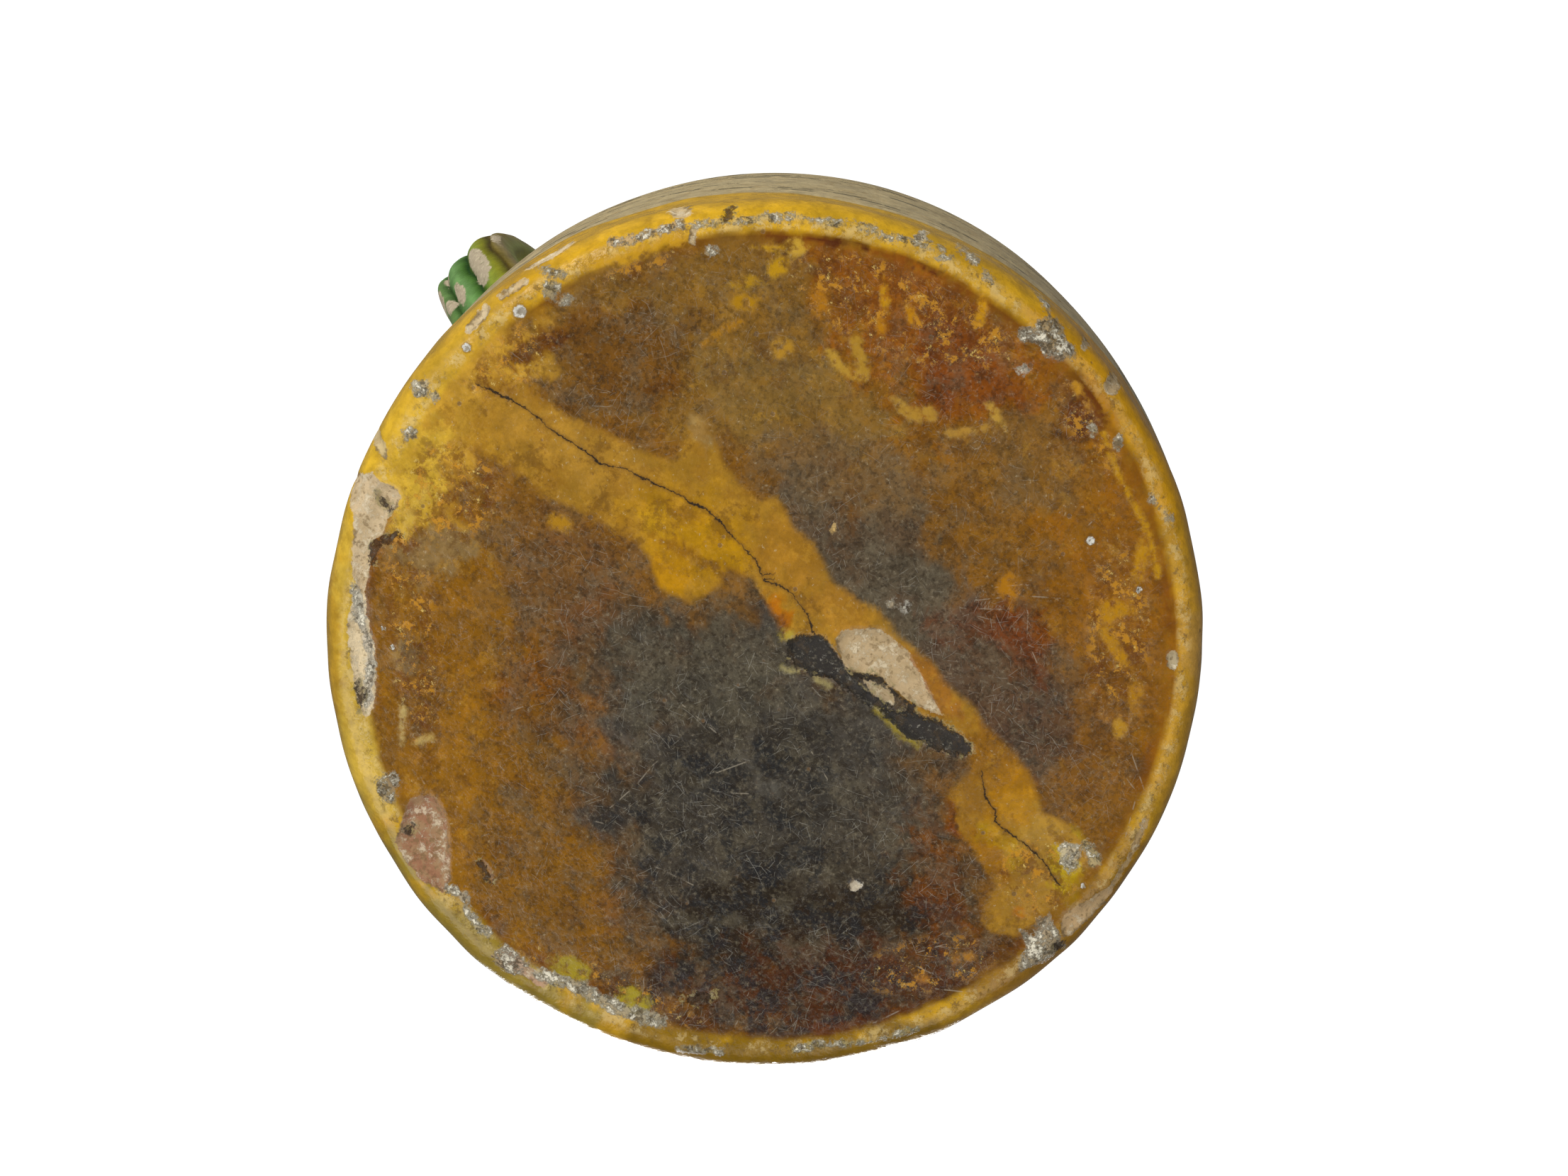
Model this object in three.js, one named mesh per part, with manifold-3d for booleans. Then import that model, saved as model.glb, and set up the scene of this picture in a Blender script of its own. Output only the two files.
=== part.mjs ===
// A one-handled jug of lead-glazed earthenware: a thrown body with a flat foot, a full
// belly, a short neck and a pulled pouring lip, and a ribbed strap handle luted to it.
// The body and the handle are fired as one piece of clay, so they are one mesh.
//
// Millimetres, +Z up. The origin is the middle of the flat foot, on the body's axis.
// The handle points along +X and the lip along -X.

import * as THREE from 'three';
import { mergeVertices } from 'three/addons/utils/BufferGeometryUtils.js';
import Module from 'manifold-3d';

// ---- driving dimensions -------------------------------------------------------------

const FOOT_RADIUS = 58; // the flat that the jug stands on
const HEEL_RADIUS = 62.5; // where the rounded edge of the foot meets the wall
const HEEL_HEIGHT = 7; // from the table to that point
const BELLY_RADIUS = 66.2; // the widest of the body
const BELLY_RISE = 85; // from the heel to the widest point
const SHOULDER_RISE = 52; // from there to the narrowest of the neck
const NECK_RADIUS = 45; // outside, at its narrowest
const NECK_RISE = 28; // from there to the middle of the rim's roll
const RIM_RADIUS = 53; // outside, at the rim
const WALL = 6; // thickness of the thrown wall
const FLOOR = 8; // thickness of the floor
const INNER_CORNER = 14; // rounding between the floor and the wall inside

// How far the wall keeps its direction on its way from each of those points, as a share
// of the rise it is part of.
const HEEL_HOLD = 0.3;
const HOLD_BELOW_BELLY = 0.35;
const HOLD_ABOVE_BELLY = 0.5;
const NECK_HOLD = 0.4;
const RIM_HOLD = 0.3;
const HEEL_LEAN = 2; // how much the wall leans out as it leaves the heel
const RIM_LEAN = 1; // and as it comes up to the rim

const LIP_REACH = 12; // how far the pouring lip is pulled out
const LIP_DEPTH = 24; // how far down from the rim the pull fades out
const LIP_ANGLE = 0.36; // half width of the pull around the rim, in radians
const LIP_LIFT = 3; // how much the lip's edge rises above the rim

const STRAP_WIDTH = 15.5; // across the handle
const STRAP_THICKNESS = 7; // from its back to the valleys between its ribs
const STRAP_CORNER = 2.8; // rounding of the edges of its back
const RIB_COUNT = 4; // finger-drawn ribs along its outside
const RIB_HEIGHT = 1.3; // of each rib over the valleys
const HANDLE_REACH = 5.8; // from the widest of the belly out to the middle of the strap
const HANDLE_TOP_DROP = 9; // from the rim down to the middle of the upper joint
const HANDLE_CROWN = 5; // how much the strap arches up on its way out from the neck
const HANDLE_FOOT_RISE = 12; // from the widest of the belly up to the lower joint
const HANDLE_BEND_RISE = 32; // from the lower joint up to where the strap is farthest out
const HANDLE_UPRIGHT = 16; // how long it stays near upright on each side of that place
const FOOT_RUN = 0.55; // share of the way out that the strap's foot heads straight for
const FOOT_LIFT = 6.4; // how much it rises on that way
const TOP_RUN = 0.6; // share of the way out that the strap's top comes straight from
const TONGUE_LENGTH = 18; // of the clay smeared down the belly under the strap's foot
const TONGUE_DROP = 5.4; // from the middle of the strap's foot down to the middle of it
const TONGUE_BULGE = 2.2; // how far that clay stands out from the wall
const JOINT_BITE = 4.5; // how deep the strap's ends and the smeared clay sit in the wall

const AROUND = 64; // facets around the body
const OUTSIDE_STEPS = 7; // facets along each curve of the wall's outside
const INSIDE_STEPS = 5; // facets along each curve of its inside
const FOOT_STEPS = 4; // facets up the rounded edge of the foot
const CORNER_STEPS = 5; // facets round the corner of the floor
const RIM_STEPS = 6; // facets over the rim
const BACK_CORNER_STEPS = 3; // facets round each edge of the strap's back
const TONGUE_STEPS = 12; // facets along the smeared clay
const MEASURE_STEPS = 60; // points along the wall when its radius is looked up
const ALONG_STRAP = 24; // facets along the handle
const PER_RIB = 4; // facets across each rib

// ---- sizes that follow from them ----------------------------------------------------

const BELLY_HEIGHT = HEEL_HEIGHT + BELLY_RISE;
const NECK_HEIGHT = BELLY_HEIGHT + SHOULDER_RISE;
const RIM_HEIGHT = NECK_HEIGHT + NECK_RISE;
const STRAP_FOOT_HEIGHT = BELLY_HEIGHT + HANDLE_FOOT_RISE;
const STRAP_TOP_HEIGHT = RIM_HEIGHT - HANDLE_TOP_DROP;

const CLAY = new THREE.MeshStandardMaterial({ color: 0xb8903c, roughness: 0.3, metalness: 0 });

// ---- helpers ------------------------------------------------------------------------

const wasm = await Module();
wasm.setup();

function toSolid(geometry) {
  const bare = geometry.clone();
  bare.deleteAttribute('normal');
  bare.deleteAttribute('uv');
  const merged = mergeVertices(bare, 1e-4);
  const mesh = new wasm.Mesh({
    numProp: 3,
    vertProperties: Float32Array.from(merged.attributes.position.array),
    triVerts: Uint32Array.from(merged.index.array),
  });
  return new wasm.Manifold(mesh);
}

function toGeometry(solid) {
  const mesh = solid.getMesh();
  const geometry = new THREE.BufferGeometry();
  geometry.setAttribute('position', new THREE.BufferAttribute(mesh.vertProperties, 3));
  geometry.setIndex(new THREE.BufferAttribute(mesh.triVerts, 1));
  geometry.computeVertexNormals();
  return geometry;
}

// A lathe turns about Y, so its result is stood up to turn about Z.
function turned(points) {
  const geometry = new THREE.LatheGeometry(points, AROUND);
  geometry.rotateX(Math.PI / 2);
  return geometry;
}

// ---- body ---------------------------------------------------------------------------

// The wall's line from the heel up to the rim, moved in from the outside by `inset`.
function wallLine(inset) {
  const line = new THREE.Path();
  line.moveTo(HEEL_RADIUS - inset, HEEL_HEIGHT);
  line.bezierCurveTo(
    HEEL_RADIUS - inset + HEEL_LEAN, HEEL_HEIGHT + BELLY_RISE * HEEL_HOLD,
    BELLY_RADIUS - inset, BELLY_HEIGHT - BELLY_RISE * HOLD_BELOW_BELLY,
    BELLY_RADIUS - inset, BELLY_HEIGHT,
  );
  line.bezierCurveTo(
    BELLY_RADIUS - inset, BELLY_HEIGHT + SHOULDER_RISE * HOLD_ABOVE_BELLY,
    NECK_RADIUS - inset, NECK_HEIGHT - SHOULDER_RISE * NECK_HOLD,
    NECK_RADIUS - inset, NECK_HEIGHT,
  );
  line.bezierCurveTo(
    NECK_RADIUS - inset, NECK_HEIGHT + NECK_RISE * NECK_HOLD,
    RIM_RADIUS - inset - RIM_LEAN, RIM_HEIGHT - NECK_RISE * RIM_HOLD,
    RIM_RADIUS - inset, RIM_HEIGHT,
  );
  return line;
}

// Radius of the outside of the wall at a height above the heel.
function outsideRadius(height) {
  const points = wallLine(0).getPoints(MEASURE_STEPS);
  const above = points.findIndex((point) => point.y >= height);
  const low = points[above - 1];
  const high = points[above];
  return THREE.MathUtils.mapLinear(height, low.y, high.y, low.x, high.x);
}

function footLine() {
  const line = new THREE.Path();
  line.moveTo(0, 0);
  line.lineTo(FOOT_RADIUS, 0);
  line.quadraticCurveTo(HEEL_RADIUS, 0, HEEL_RADIUS, HEEL_HEIGHT);
  return line;
}

// The inside, from the wall down round the corner and across the floor to the axis.
function floorLine() {
  const wallFoot = HEEL_RADIUS - WALL;
  const line = new THREE.Path();
  line.moveTo(wallFoot, FLOOR + INNER_CORNER);
  line.quadraticCurveTo(wallFoot, FLOOR, wallFoot - INNER_CORNER, FLOOR);
  line.lineTo(0, FLOOR);
  return line;
}

function insidePoints() {
  const cornerTop = FLOOR + INNER_CORNER;
  const wall = wallLine(WALL).getPoints(INSIDE_STEPS).reverse();
  const aboveCorner = wall.filter((point) => point.y > cornerTop + 1);
  return [...aboveCorner, ...floorLine().getPoints(CORNER_STEPS)];
}

// Pulls the rim out into the pouring lip, on the side away from the handle.
function pullLip(geometry) {
  const position = geometry.attributes.position;
  const point = new THREE.Vector3();
  for (let i = 0; i < position.count; i += 1) {
    point.fromBufferAttribute(position, i);
    const rise = THREE.MathUtils.smoothstep(point.z, RIM_HEIGHT - LIP_DEPTH, RIM_HEIGHT);
    const away = Math.atan2(point.y, -point.x) / LIP_ANGLE;
    const pull = rise * Math.exp(-away * away);
    point.x -= LIP_REACH * pull;
    point.z += LIP_LIFT * pull;
    position.setXYZ(i, point.x, point.y, point.z);
  }
  return geometry;
}

function makeBody() {
  const rim = new THREE.Path();
  rim.absarc(RIM_RADIUS - WALL / 2, RIM_HEIGHT, WALL / 2, 0, Math.PI, false);
  const points = [
    ...footLine().getPoints(FOOT_STEPS),
    ...wallLine(0).getPoints(OUTSIDE_STEPS).slice(1),
    ...rim.getPoints(RIM_STEPS).slice(1, -1),
    ...insidePoints(),
  ];
  return toSolid(pullLip(turned(points)));
}

// Everything inside the wall, as a plug that reaches above the rim.
function makeCavity() {
  const top = RIM_HEIGHT + WALL + LIP_LIFT;
  const points = [
    new THREE.Vector2(0, top),
    new THREE.Vector2(RIM_RADIUS - WALL, top),
    ...insidePoints(),
  ];
  return toSolid(turned(points.reverse()));
}

// ---- handle -------------------------------------------------------------------------

// Across the strap: a flat back with round corners, and ribs with valleys on the outside.
function strapSection() {
  const half = STRAP_WIDTH / 2;
  const back = -STRAP_THICKNESS / 2;
  const front = STRAP_THICKNESS / 2;
  const section = new THREE.Shape();
  section.moveTo(-half + STRAP_CORNER, back);
  section.lineTo(half - STRAP_CORNER, back);
  section.quadraticCurveTo(half, back, half, back + STRAP_CORNER);
  section.lineTo(half, front);
  for (let i = 1; i < RIB_COUNT * PER_RIB; i += 1) {
    const across = i / (RIB_COUNT * PER_RIB);
    const rib = Math.abs(Math.sin(Math.PI * RIB_COUNT * across));
    section.lineTo(half - across * STRAP_WIDTH, front + RIB_HEIGHT * rib);
  }
  section.lineTo(-half, front);
  section.lineTo(-half, back + STRAP_CORNER);
  section.quadraticCurveTo(-half, back, -half + STRAP_CORNER, back);
  return section;
}

// The middle of the strap, from the lower joint on the shoulder up to the joint at the
// neck: out and up to where it stands farthest from the axis, then over and in.
function strapPath() {
  const footRadius = outsideRadius(STRAP_FOOT_HEIGHT) - JOINT_BITE;
  const topRadius = outsideRadius(STRAP_TOP_HEIGHT) - JOINT_BITE;
  const farthest = BELLY_RADIUS + HANDLE_REACH;
  const bendHeight = STRAP_FOOT_HEIGHT + HANDLE_BEND_RISE;
  const at = (radius, height) => new THREE.Vector3(radius, 0, height);
  const path = new THREE.CurvePath();
  path.add(new THREE.CubicBezierCurve3(
    at(footRadius, STRAP_FOOT_HEIGHT),
    at(THREE.MathUtils.lerp(footRadius, farthest, FOOT_RUN), STRAP_FOOT_HEIGHT + FOOT_LIFT),
    at(farthest, bendHeight - HANDLE_UPRIGHT),
    at(farthest, bendHeight),
  ));
  path.add(new THREE.CubicBezierCurve3(
    at(farthest, bendHeight),
    at(farthest, bendHeight + HANDLE_UPRIGHT),
    at(THREE.MathUtils.lerp(topRadius, farthest, TOP_RUN), STRAP_TOP_HEIGHT + HANDLE_CROWN),
    at(topRadius, STRAP_TOP_HEIGHT),
  ));
  return path;
}

// The clay smeared down the wall where the strap's foot was pressed on: an egg that
// stands out of the wall by its bulge and sits in it as deep as the strap does.
function makeTongue() {
  const height = STRAP_FOOT_HEIGHT - TONGUE_DROP;
  const middle = outsideRadius(height) + (TONGUE_BULGE - JOINT_BITE) / 2;
  const tongue = new THREE.SphereGeometry(1, TONGUE_STEPS * 2, TONGUE_STEPS);
  tongue.rotateX(Math.PI / 2);
  tongue.scale((TONGUE_BULGE + JOINT_BITE) / 2, STRAP_WIDTH / 2, TONGUE_LENGTH / 2);
  tongue.translate(middle, 0, height);
  return toSolid(tongue);
}

function makeHandle() {
  const strap = new THREE.ExtrudeGeometry(strapSection(), {
    steps: ALONG_STRAP,
    extrudePath: strapPath(),
    curveSegments: BACK_CORNER_STEPS,
    bevelEnabled: false,
  });
  return toSolid(strap).add(makeTongue());
}

// ---- jug ----------------------------------------------------------------------------

const jug = new THREE.Mesh(
  toGeometry(makeHandle().subtract(makeCavity()).add(makeBody())),
  CLAY,
);
jug.name = 'jug';

const object = new THREE.Group();
object.add(jug);

export default object;
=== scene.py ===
"""A one-handled jug of lead-glazed earthenware, seen from below: the worn, stained and
chipped glaze of its base, the yellow heel, the cream wall and the green strap handle.
"""

import math

import bpy
import numpy as np
from mathutils import Matrix, Vector, noise


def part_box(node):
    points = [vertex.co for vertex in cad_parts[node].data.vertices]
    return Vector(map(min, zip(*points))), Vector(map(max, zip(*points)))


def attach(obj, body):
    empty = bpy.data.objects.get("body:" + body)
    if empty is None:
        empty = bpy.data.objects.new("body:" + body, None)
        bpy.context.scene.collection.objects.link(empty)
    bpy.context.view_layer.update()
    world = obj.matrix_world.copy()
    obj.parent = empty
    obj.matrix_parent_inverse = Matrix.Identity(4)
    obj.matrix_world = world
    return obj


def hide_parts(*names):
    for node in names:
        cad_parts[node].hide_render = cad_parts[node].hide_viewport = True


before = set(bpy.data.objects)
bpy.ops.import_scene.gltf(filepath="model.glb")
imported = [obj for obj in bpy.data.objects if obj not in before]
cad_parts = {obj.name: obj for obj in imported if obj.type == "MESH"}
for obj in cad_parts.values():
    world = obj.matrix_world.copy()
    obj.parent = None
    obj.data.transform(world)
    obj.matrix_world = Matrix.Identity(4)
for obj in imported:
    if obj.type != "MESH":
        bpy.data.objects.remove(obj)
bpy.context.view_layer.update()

# ---- sizes, in millimetres ----------------------------------------------------------

MM = 0.001
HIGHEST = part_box("jug")[1] / MM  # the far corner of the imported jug's box

FOOT_RADIUS = 58.0  # the flat that the jug stands on
HEEL_RADIUS = 62.5  # where the rounded edge of the foot meets the wall
HEEL_HEIGHT = 7.0
BELLY_RADIUS = HIGHEST.y  # the widest of the body
BELLY_HEIGHT = 92.0
NECK_RADIUS = 45.0
NECK_HEIGHT = 144.0
RIM_RADIUS = 53.0
RIM_HEIGHT = 172.0
WALL = 6.0
FLOOR = 8.0
INNER_CORNER = 14.0

LIP_REACH = 12.0
LIP_DEPTH = 24.0
LIP_ANGLE = 0.36
LIP_LIFT = 3.0

STRAP_WIDTH = 15.5
STRAP_THICKNESS = 7.0
RIB_EDGES = [-7.75, -4.1, 1.0, 6.4, 7.75]  # the ribs were drawn by finger, unevenly
RIB_FULLNESS = [1, 1, 1, 0.7, 0.2]  # how full the ribs are at those edges
RIB_HEIGHT = 1.3
STRAP_FOOT = 104.0  # height of the strap's lower joint
STRAP_BEND = 136.0  # height at which it stands farthest out
STRAP_TOP = 163.0  # height of its upper joint
STRAP_REACH = 72.0  # from the axis to the middle of the strap, where it is farthest out
STRAP_BITE = 3.2  # how deep its upper end sits in the wall
SMEAR_FOOT = 92.0  # height down to which its clay is smeared on the belly
SMEAR_MIDDLE = 99.0

GLAZE_EDGE = 19.0  # height at which the heel's yellow glaze gives way to the cream wall
HANDLE_BEARING = math.radians(138)  # where the handle lies on the plan seen from below

BASE_CELLS = 224  # mesh cells across the base, about half a millimetre each
FOOT_ROW = 0.7  # length of one mesh row round the edge of the foot
FOOT_TOP = 3.0  # height where the mesh gets half as many points round
HEEL_TOP = 21.0  # height where it does so again
WALL_ROW = 2.2
INSIDE_ROW = 3.5
STRAP_ROW = 0.7
STRAP_STEPS = 56  # points across the ribbed side
START_ANGLE = -math.pi / 4  # where the rings of the mesh begin
BASE_ISLAND = 0.305  # half the side of the base's square on the bake map
MAP_GAP = 0.004
WALL_ISLAND = (0.625, 0.37)  # lower edge and height of the outer wall's island above it
INSIDE_ISLAND = (0.63, 0.365, 0.615)  # left edge, width and height of the inside's beside it

FAR = 5.0  # a distance that counts as clear of a mark
MARKS_END = (8.0, 14.0)  # heights between which the marks end on the side of the heel
FLAT_END = (55.5, 57.5)  # radii between which the worn flat of the base ends
RUST_START = (54.8, 56.2)  # radii between which the rust beside the heel begins
HEEL_START = (57.0, 58.2)  # and the heel's yellow
RING_START = (57.4, 58.4)  # and the scuffed edge that the jug stands on, whose pale is partly a painted highlight
RING_END = (59.2, 60.2)
DASHES_END = (112.0, 120.0)  # heights between which the dashes on the wall end
WORN_LIGHT = (0.05, 0.2)  # glaze darker than this shows its scratches
SOOT_LIGHT = (0.04, 0.09)  # and darker than this it is sooty
LIGHTNESS = np.array([0.3, 0.6, 0.1])  # how much each primary counts for that
CHIP_DEPTH = 0.55
GRIT_HEIGHT = 0.2
TEAR_DEPTH = 0.7
PIT_DEPTH = 0.45
PIT_RIM = 0.15  # height of the rim thrown up round a pit
THROWING_RIDGE = 5.5  # how far one ridge left by the potter's fingers is above the last

LEAD_GLAZE_IOR = 1.5
GLAZE_ROUGHNESS = 0.22
STRAP_ROUGHNESS = 0.5  # the strap's glaze is handled dull
GLOSS_VEIL = 0.012  # white light that the gloss adds to every colour
GRAIN_START = (0.317, 0.123, 0.431)  # where the patterns are taken, off their own middle
PINHOLE_CELL = 3.1
DASH_CELL = 9.0  # room for one dash along the wall
DASH_ROW = 2.4  # and up it
HAIR_BEND = (4.0, 0.9)  # size of a hairline's bends and how far they carry it
# Hairlines are drawn wider than the real ones, a few hundredths of a millimetre, so
# that they show: cell, width, half length and seed.
HAIRLINES = [(1.0, 0.06, 0.6, 4), (1.5, 0.07, 1.0, 1), (2.5, 0.07, 1.8, 2), (6.0, 0.06, 4.5, 3)]

# ---- stage, in millimetres and watts ------------------------------------------------

FLOOR_SIZE = 6000
WHITE = 1.1  # strength of the white behind the jug, a little over full
FLOOR_FADE = (200, 560)  # distances between which the floor fades into the white
AMBIENT = 0.1
SOFTBOX_REACH = (650, -560)  # out from the axis and down to the softboxes round the base
# Softboxes round the base, low enough that it mirrors none of them: bearing, size, power
# and whether the gloss shows them.
LIGHTS_BELOW = [("key_below", 125, 900, 7.0, False), ("spark_below", 120, 260, 1.3, True),
                ("side_below", 35, 700, 1.6, True), ("low_below", -60, 700, 2.0, True),
                ("back_below", 215, 700, 3.0, True)]
# Softboxes over the jug, with their places instead of their bearings.
LIGHTS_ABOVE = [("key_above", (-500, -700, 800), 600, 16, True),
                ("fill_above", (800, 300, 600), 800, 9, False)]

CAMERA_DISTANCE = 450.0
CAMERA_TILT = math.radians(8.6)  # off the jug's axis
CAMERA_BEARING = math.radians(56.6)  # towards which it stands off the axis
CAMERA_TURN = math.radians(81.4)  # where that bearing shows, from the right of the view
LENS = 73.24
FRAME_OFFSET = (0.0066, 0.01807)  # right and up, from the axis to the middle of the view

# ---- small tools --------------------------------------------------------------------


def linear(hex_colour):
    """An sRGB hex colour as linear red, green and blue."""
    shares = [int(hex_colour[i:i + 2], 16) / 255 for i in (1, 3, 5)]
    return [s / 12.92 if s <= 0.04045 else ((s + 0.055) / 1.055) ** 2.4 for s in shares]


def rgba(hex_colour):
    return (*linear(hex_colour), 1.0)


def ease(value, low, high):
    """0 below low, 1 above high, and smooth between."""
    share = np.clip((value - low) / (high - low), 0, 1)
    return share * share * (3 - 2 * share)


def fade(value, low, high):
    """1 below low, 0 above high, and smooth between."""
    return 1 - ease(value, low, high)


def cloud(places, size, seed):
    """Smooth noise from about -1 to 1 with lumps of that size, at places in millimetres."""
    start = Vector((seed * 17.3, seed * 5.1, seed * 9.7))
    return np.array([noise.noise(Vector(place) / size + start) for place in places])


def curdle(places, size, seed):
    """Noise as cloud gives, with ever smaller lumps on the large ones."""
    start = Vector((seed * 11.9, seed * 7.7, seed * 3.1))
    rough = [noise.fractal(Vector(place) / size + start, 0.7, 2.0, 4) for place in places]
    return np.array(rough)


def bezier(points, share):
    """A quadratic or cubic curve through its first and last points."""
    points = [np.array(point, float) for point in points]
    while len(points) > 1:
        points = [a + (b - a) * share for a, b in zip(points, points[1:])]
    return points[0]


def even_points(curve, step):
    """Points a step apart along a dense line."""
    curve = np.array(curve)
    lengths = np.hypot(*np.diff(curve, axis=0).T)
    run = np.concatenate([[0], np.cumsum(lengths)])
    wanted = np.linspace(0, run[-1], max(2, round(run[-1] / step) + 1))
    return np.stack([np.interp(wanted, run, axis) for axis in curve.T], 1)


# ---- marks on the base --------------------------------------------------------------
# Places are in millimetres on the plan of the base as it is seen from below, with u to
# the right and v up, from the middle of the foot.


def gap_to_line(plan, line):
    """Distance of each place from a line, and on which side of it the place lies."""
    nearest = np.full(len(plan), np.inf)
    side = np.zeros(len(plan))
    for start, end in zip(np.array(line[:-1], float), np.array(line[1:], float)):
        along = end - start
        share = np.clip((plan - start) @ along / (along @ along), 0, 1)
        away = plan - start - share[:, None] * along
        gap = np.hypot(*away.T)
        cross = along[0] * away[:, 1] - along[1] * away[:, 0]
        side = np.where(gap < nearest, np.sign(cross), side)
        nearest = np.minimum(gap, nearest)
    return nearest, side


def depth_in_area(plan, outline):
    """How far inside an outline each place lies, negative outside it."""
    gap = gap_to_line(plan, [*outline, outline[0]])[0]
    inside = np.zeros(len(plan), bool)
    for (u0, v0), (u1, v1) in zip(outline, [*outline[1:], outline[0]]):
        if v0 != v1:
            spans = (plan[:, 1] > v0) != (plan[:, 1] > v1)
            crossing = u0 + (plan[:, 1] - v0) * (u1 - u0) / (v1 - v0)
            inside ^= spans & (plan[:, 0] < crossing)
    return np.where(inside, gap, -gap)


def depth_in_spot(plan, spot):
    """The same for an oval given by its middle, half sizes and turn in degrees."""
    u, v, half_u, half_v, turn = spot
    angle = math.radians(turn)
    du, dv = plan[:, 0] - u, plan[:, 1] - v
    across = du * math.cos(angle) + dv * math.sin(angle)
    up = dv * math.cos(angle) - du * math.sin(angle)
    return (1 - np.hypot(across / half_u, up / half_v)) * min(half_u, half_v)


def depth_in_mark(plan, mark):
    kind, shape = mark[0], mark[1]
    if kind == "area":
        return depth_in_area(plan, shape)
    if kind == "spot":
        return depth_in_spot(plan, shape)
    width, line = shape
    return width / 2 - gap_to_line(plan, line)[0]


FOOT_MIDDLE = (0.6, 0.5)  # the middle of the base's edge, which was trimmed off centre

# Where the glaze is dark, brown, amber or yellow: colour, middle, half sizes, turn, how
# soft its edge is and how strong it is.
GLAZE_GROUND = "#7C5524"
# How the pools' edges bend: size of the bends, how far they carry the edge, and seeds.
POOL_BENDS = [(9, 2.2, (8, 9)), (2.6, 1.3, (10, 11)), (1.1, 0.8, (22, 23))]
GLAZE_POOLS = [
    ("#845A18", (-44, -8, 15, 32, 8), 0.5, 0.9),
    ("#7A5B2C", (-6, 44, 30, 15, 0), 0.4, 0.8),
    ("#6A4722", (-20, 40, 9, 8, 20), 0.5, 0.8),
    ("#7E6233", (5, 34, 15, 7, -10), 0.5, 0.7),
    ("#87500F", (24, 45, 17, 10, -35), 0.5, 0.9),
    ("#7A430A", (29, 40, 8, 4, -40), 0.5, 0.8),
    ("#8C5B17", (48, 14, 9, 26, 15), 0.5, 0.9),
    ("#7B5C33", (38, 27, 9, 7, 0), 0.6, 0.7),
    ("#6B4C2C", (-28, 6, 9, 13, 20), 0.6, 0.9),
    ("#6E4218", (-33, -8, 6, 7, 0), 0.6, 0.7),
    ("#78521B", (-30, -30, 13, 20, 20), 0.5, 0.8),
    ("#B58B34", (-44, 33, 8, 17, -38), 0.4, 0.95),
    ("#C39E38", (-49, 25, 5, 8, -25), 0.5, 0.9),
    ("#A0782B", (-33, 29, 10, 6, -30), 0.5, 0.85),
    ("#8A6A38", (-24, 23, 7, 4, -25), 0.5, 0.7),
    ("#7E5527", (40, -8, 18, 16, 0), 0.6, 0.6),
    ("#5B3C20", (10, -50, 28, 12, 5), 0.7, 0.9),
    ("#6A4630", (-19, -15, 9, 24, 5), 0.7, 0.5),
    ("#5A4630", (2, -18, 29, 28, -20), 0.5, 0.9),
    ("#4A4741", (0, -17, 22, 17, -15), 0.5, 0.9),
    ("#5D5A52", (-1, -23, 11, 7, -10), 0.5, 0.6),
    ("#3F3A33", (-4, -28, 16, 14, 0), 0.5, 0.9),
    ("#2F2923", (8, -39, 20, 8, 8), 0.4, 0.9),
    ("#34302B", (-9, -14, 6, 5, 30), 0.6, 0.6),
    ("#302D2A", (6, -15, 5, 4, 0), 0.6, 0.6),
    ("#504A3E", (-9, -3, 13, 8, -15), 0.45, 0.9),
    ("#4E473C", (14, -27, 10, 8, 0), 0.5, 0.7),
    ("#4A2D18", (8, -49, 22, 6, 5), 0.7, 0.85),
    ("#6A3C12", (25, -34, 4, 9, 20), 0.7, 0.7),
    ("#57493A", (14, 12, 15, 9, -42), 0.4, 0.9),
    ("#5A5142", (20, 3, 11, 9, -45), 0.4, 0.85),
    ("#5B493A", (31, -4, 12, 10, -30), 0.45, 0.85),
    ("#5A4434", (37, -13, 7, 6, -40), 0.5, 0.8),
    ("#705A3E", (13, 24, 15, 5, -12), 0.5, 0.7),
    ("#6B3A20", (31, 4, 8, 3, 10), 0.6, 0.6),
    ("#6A3519", (38, 1, 4, 5, 0), 0.6, 0.7),
    ("#5E3A1C", (-14, 37.5, 3, 2, 0), 0.6, 0.6),
    ("#5C2F10", (-32, 41, 4.5, 1.7, 20), 0.5, 0.8),
    ("#6E3A10", (24, 37.5, 2.2, 3.2, 15), 0.5, 0.7),
    ("#5E3412", (45.5, 34.5, 3.6, 6, -30), 0.5, 0.85),
    ("#86704A", (-46, 13.5, 6.0, 3.2, 15), 0.6, 0.75),
    ("#7C6C50", (-50.5, -1.5, 2.4, 1.5, -20), 0.6, 0.7),
    ("#9A6A14", (-45, -22, 6, 12, 0), 0.6, 0.6),
    ("#8C6018", (-38, -44, 8, 5, -40), 0.6, 0.6),
    ("#66451C", (-47.5, -6, 2.5, 14, 5), 0.6, 0.5),
    ("#4F2A0E", (10.5, 56.4, 5.5, 1.2, -6), 0.4, 0.9),
    ("#4F2A0E", (22.5, 53.6, 3, 1.0, -18), 0.4, 0.9),
    ("#5B3311", (2.5, 57.4, 3.5, 1.0, 0), 0.4, 0.8),
    ("#4A2A10", (14, -55.5, 13, 2.4, 8), 0.5, 0.8),
]

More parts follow.
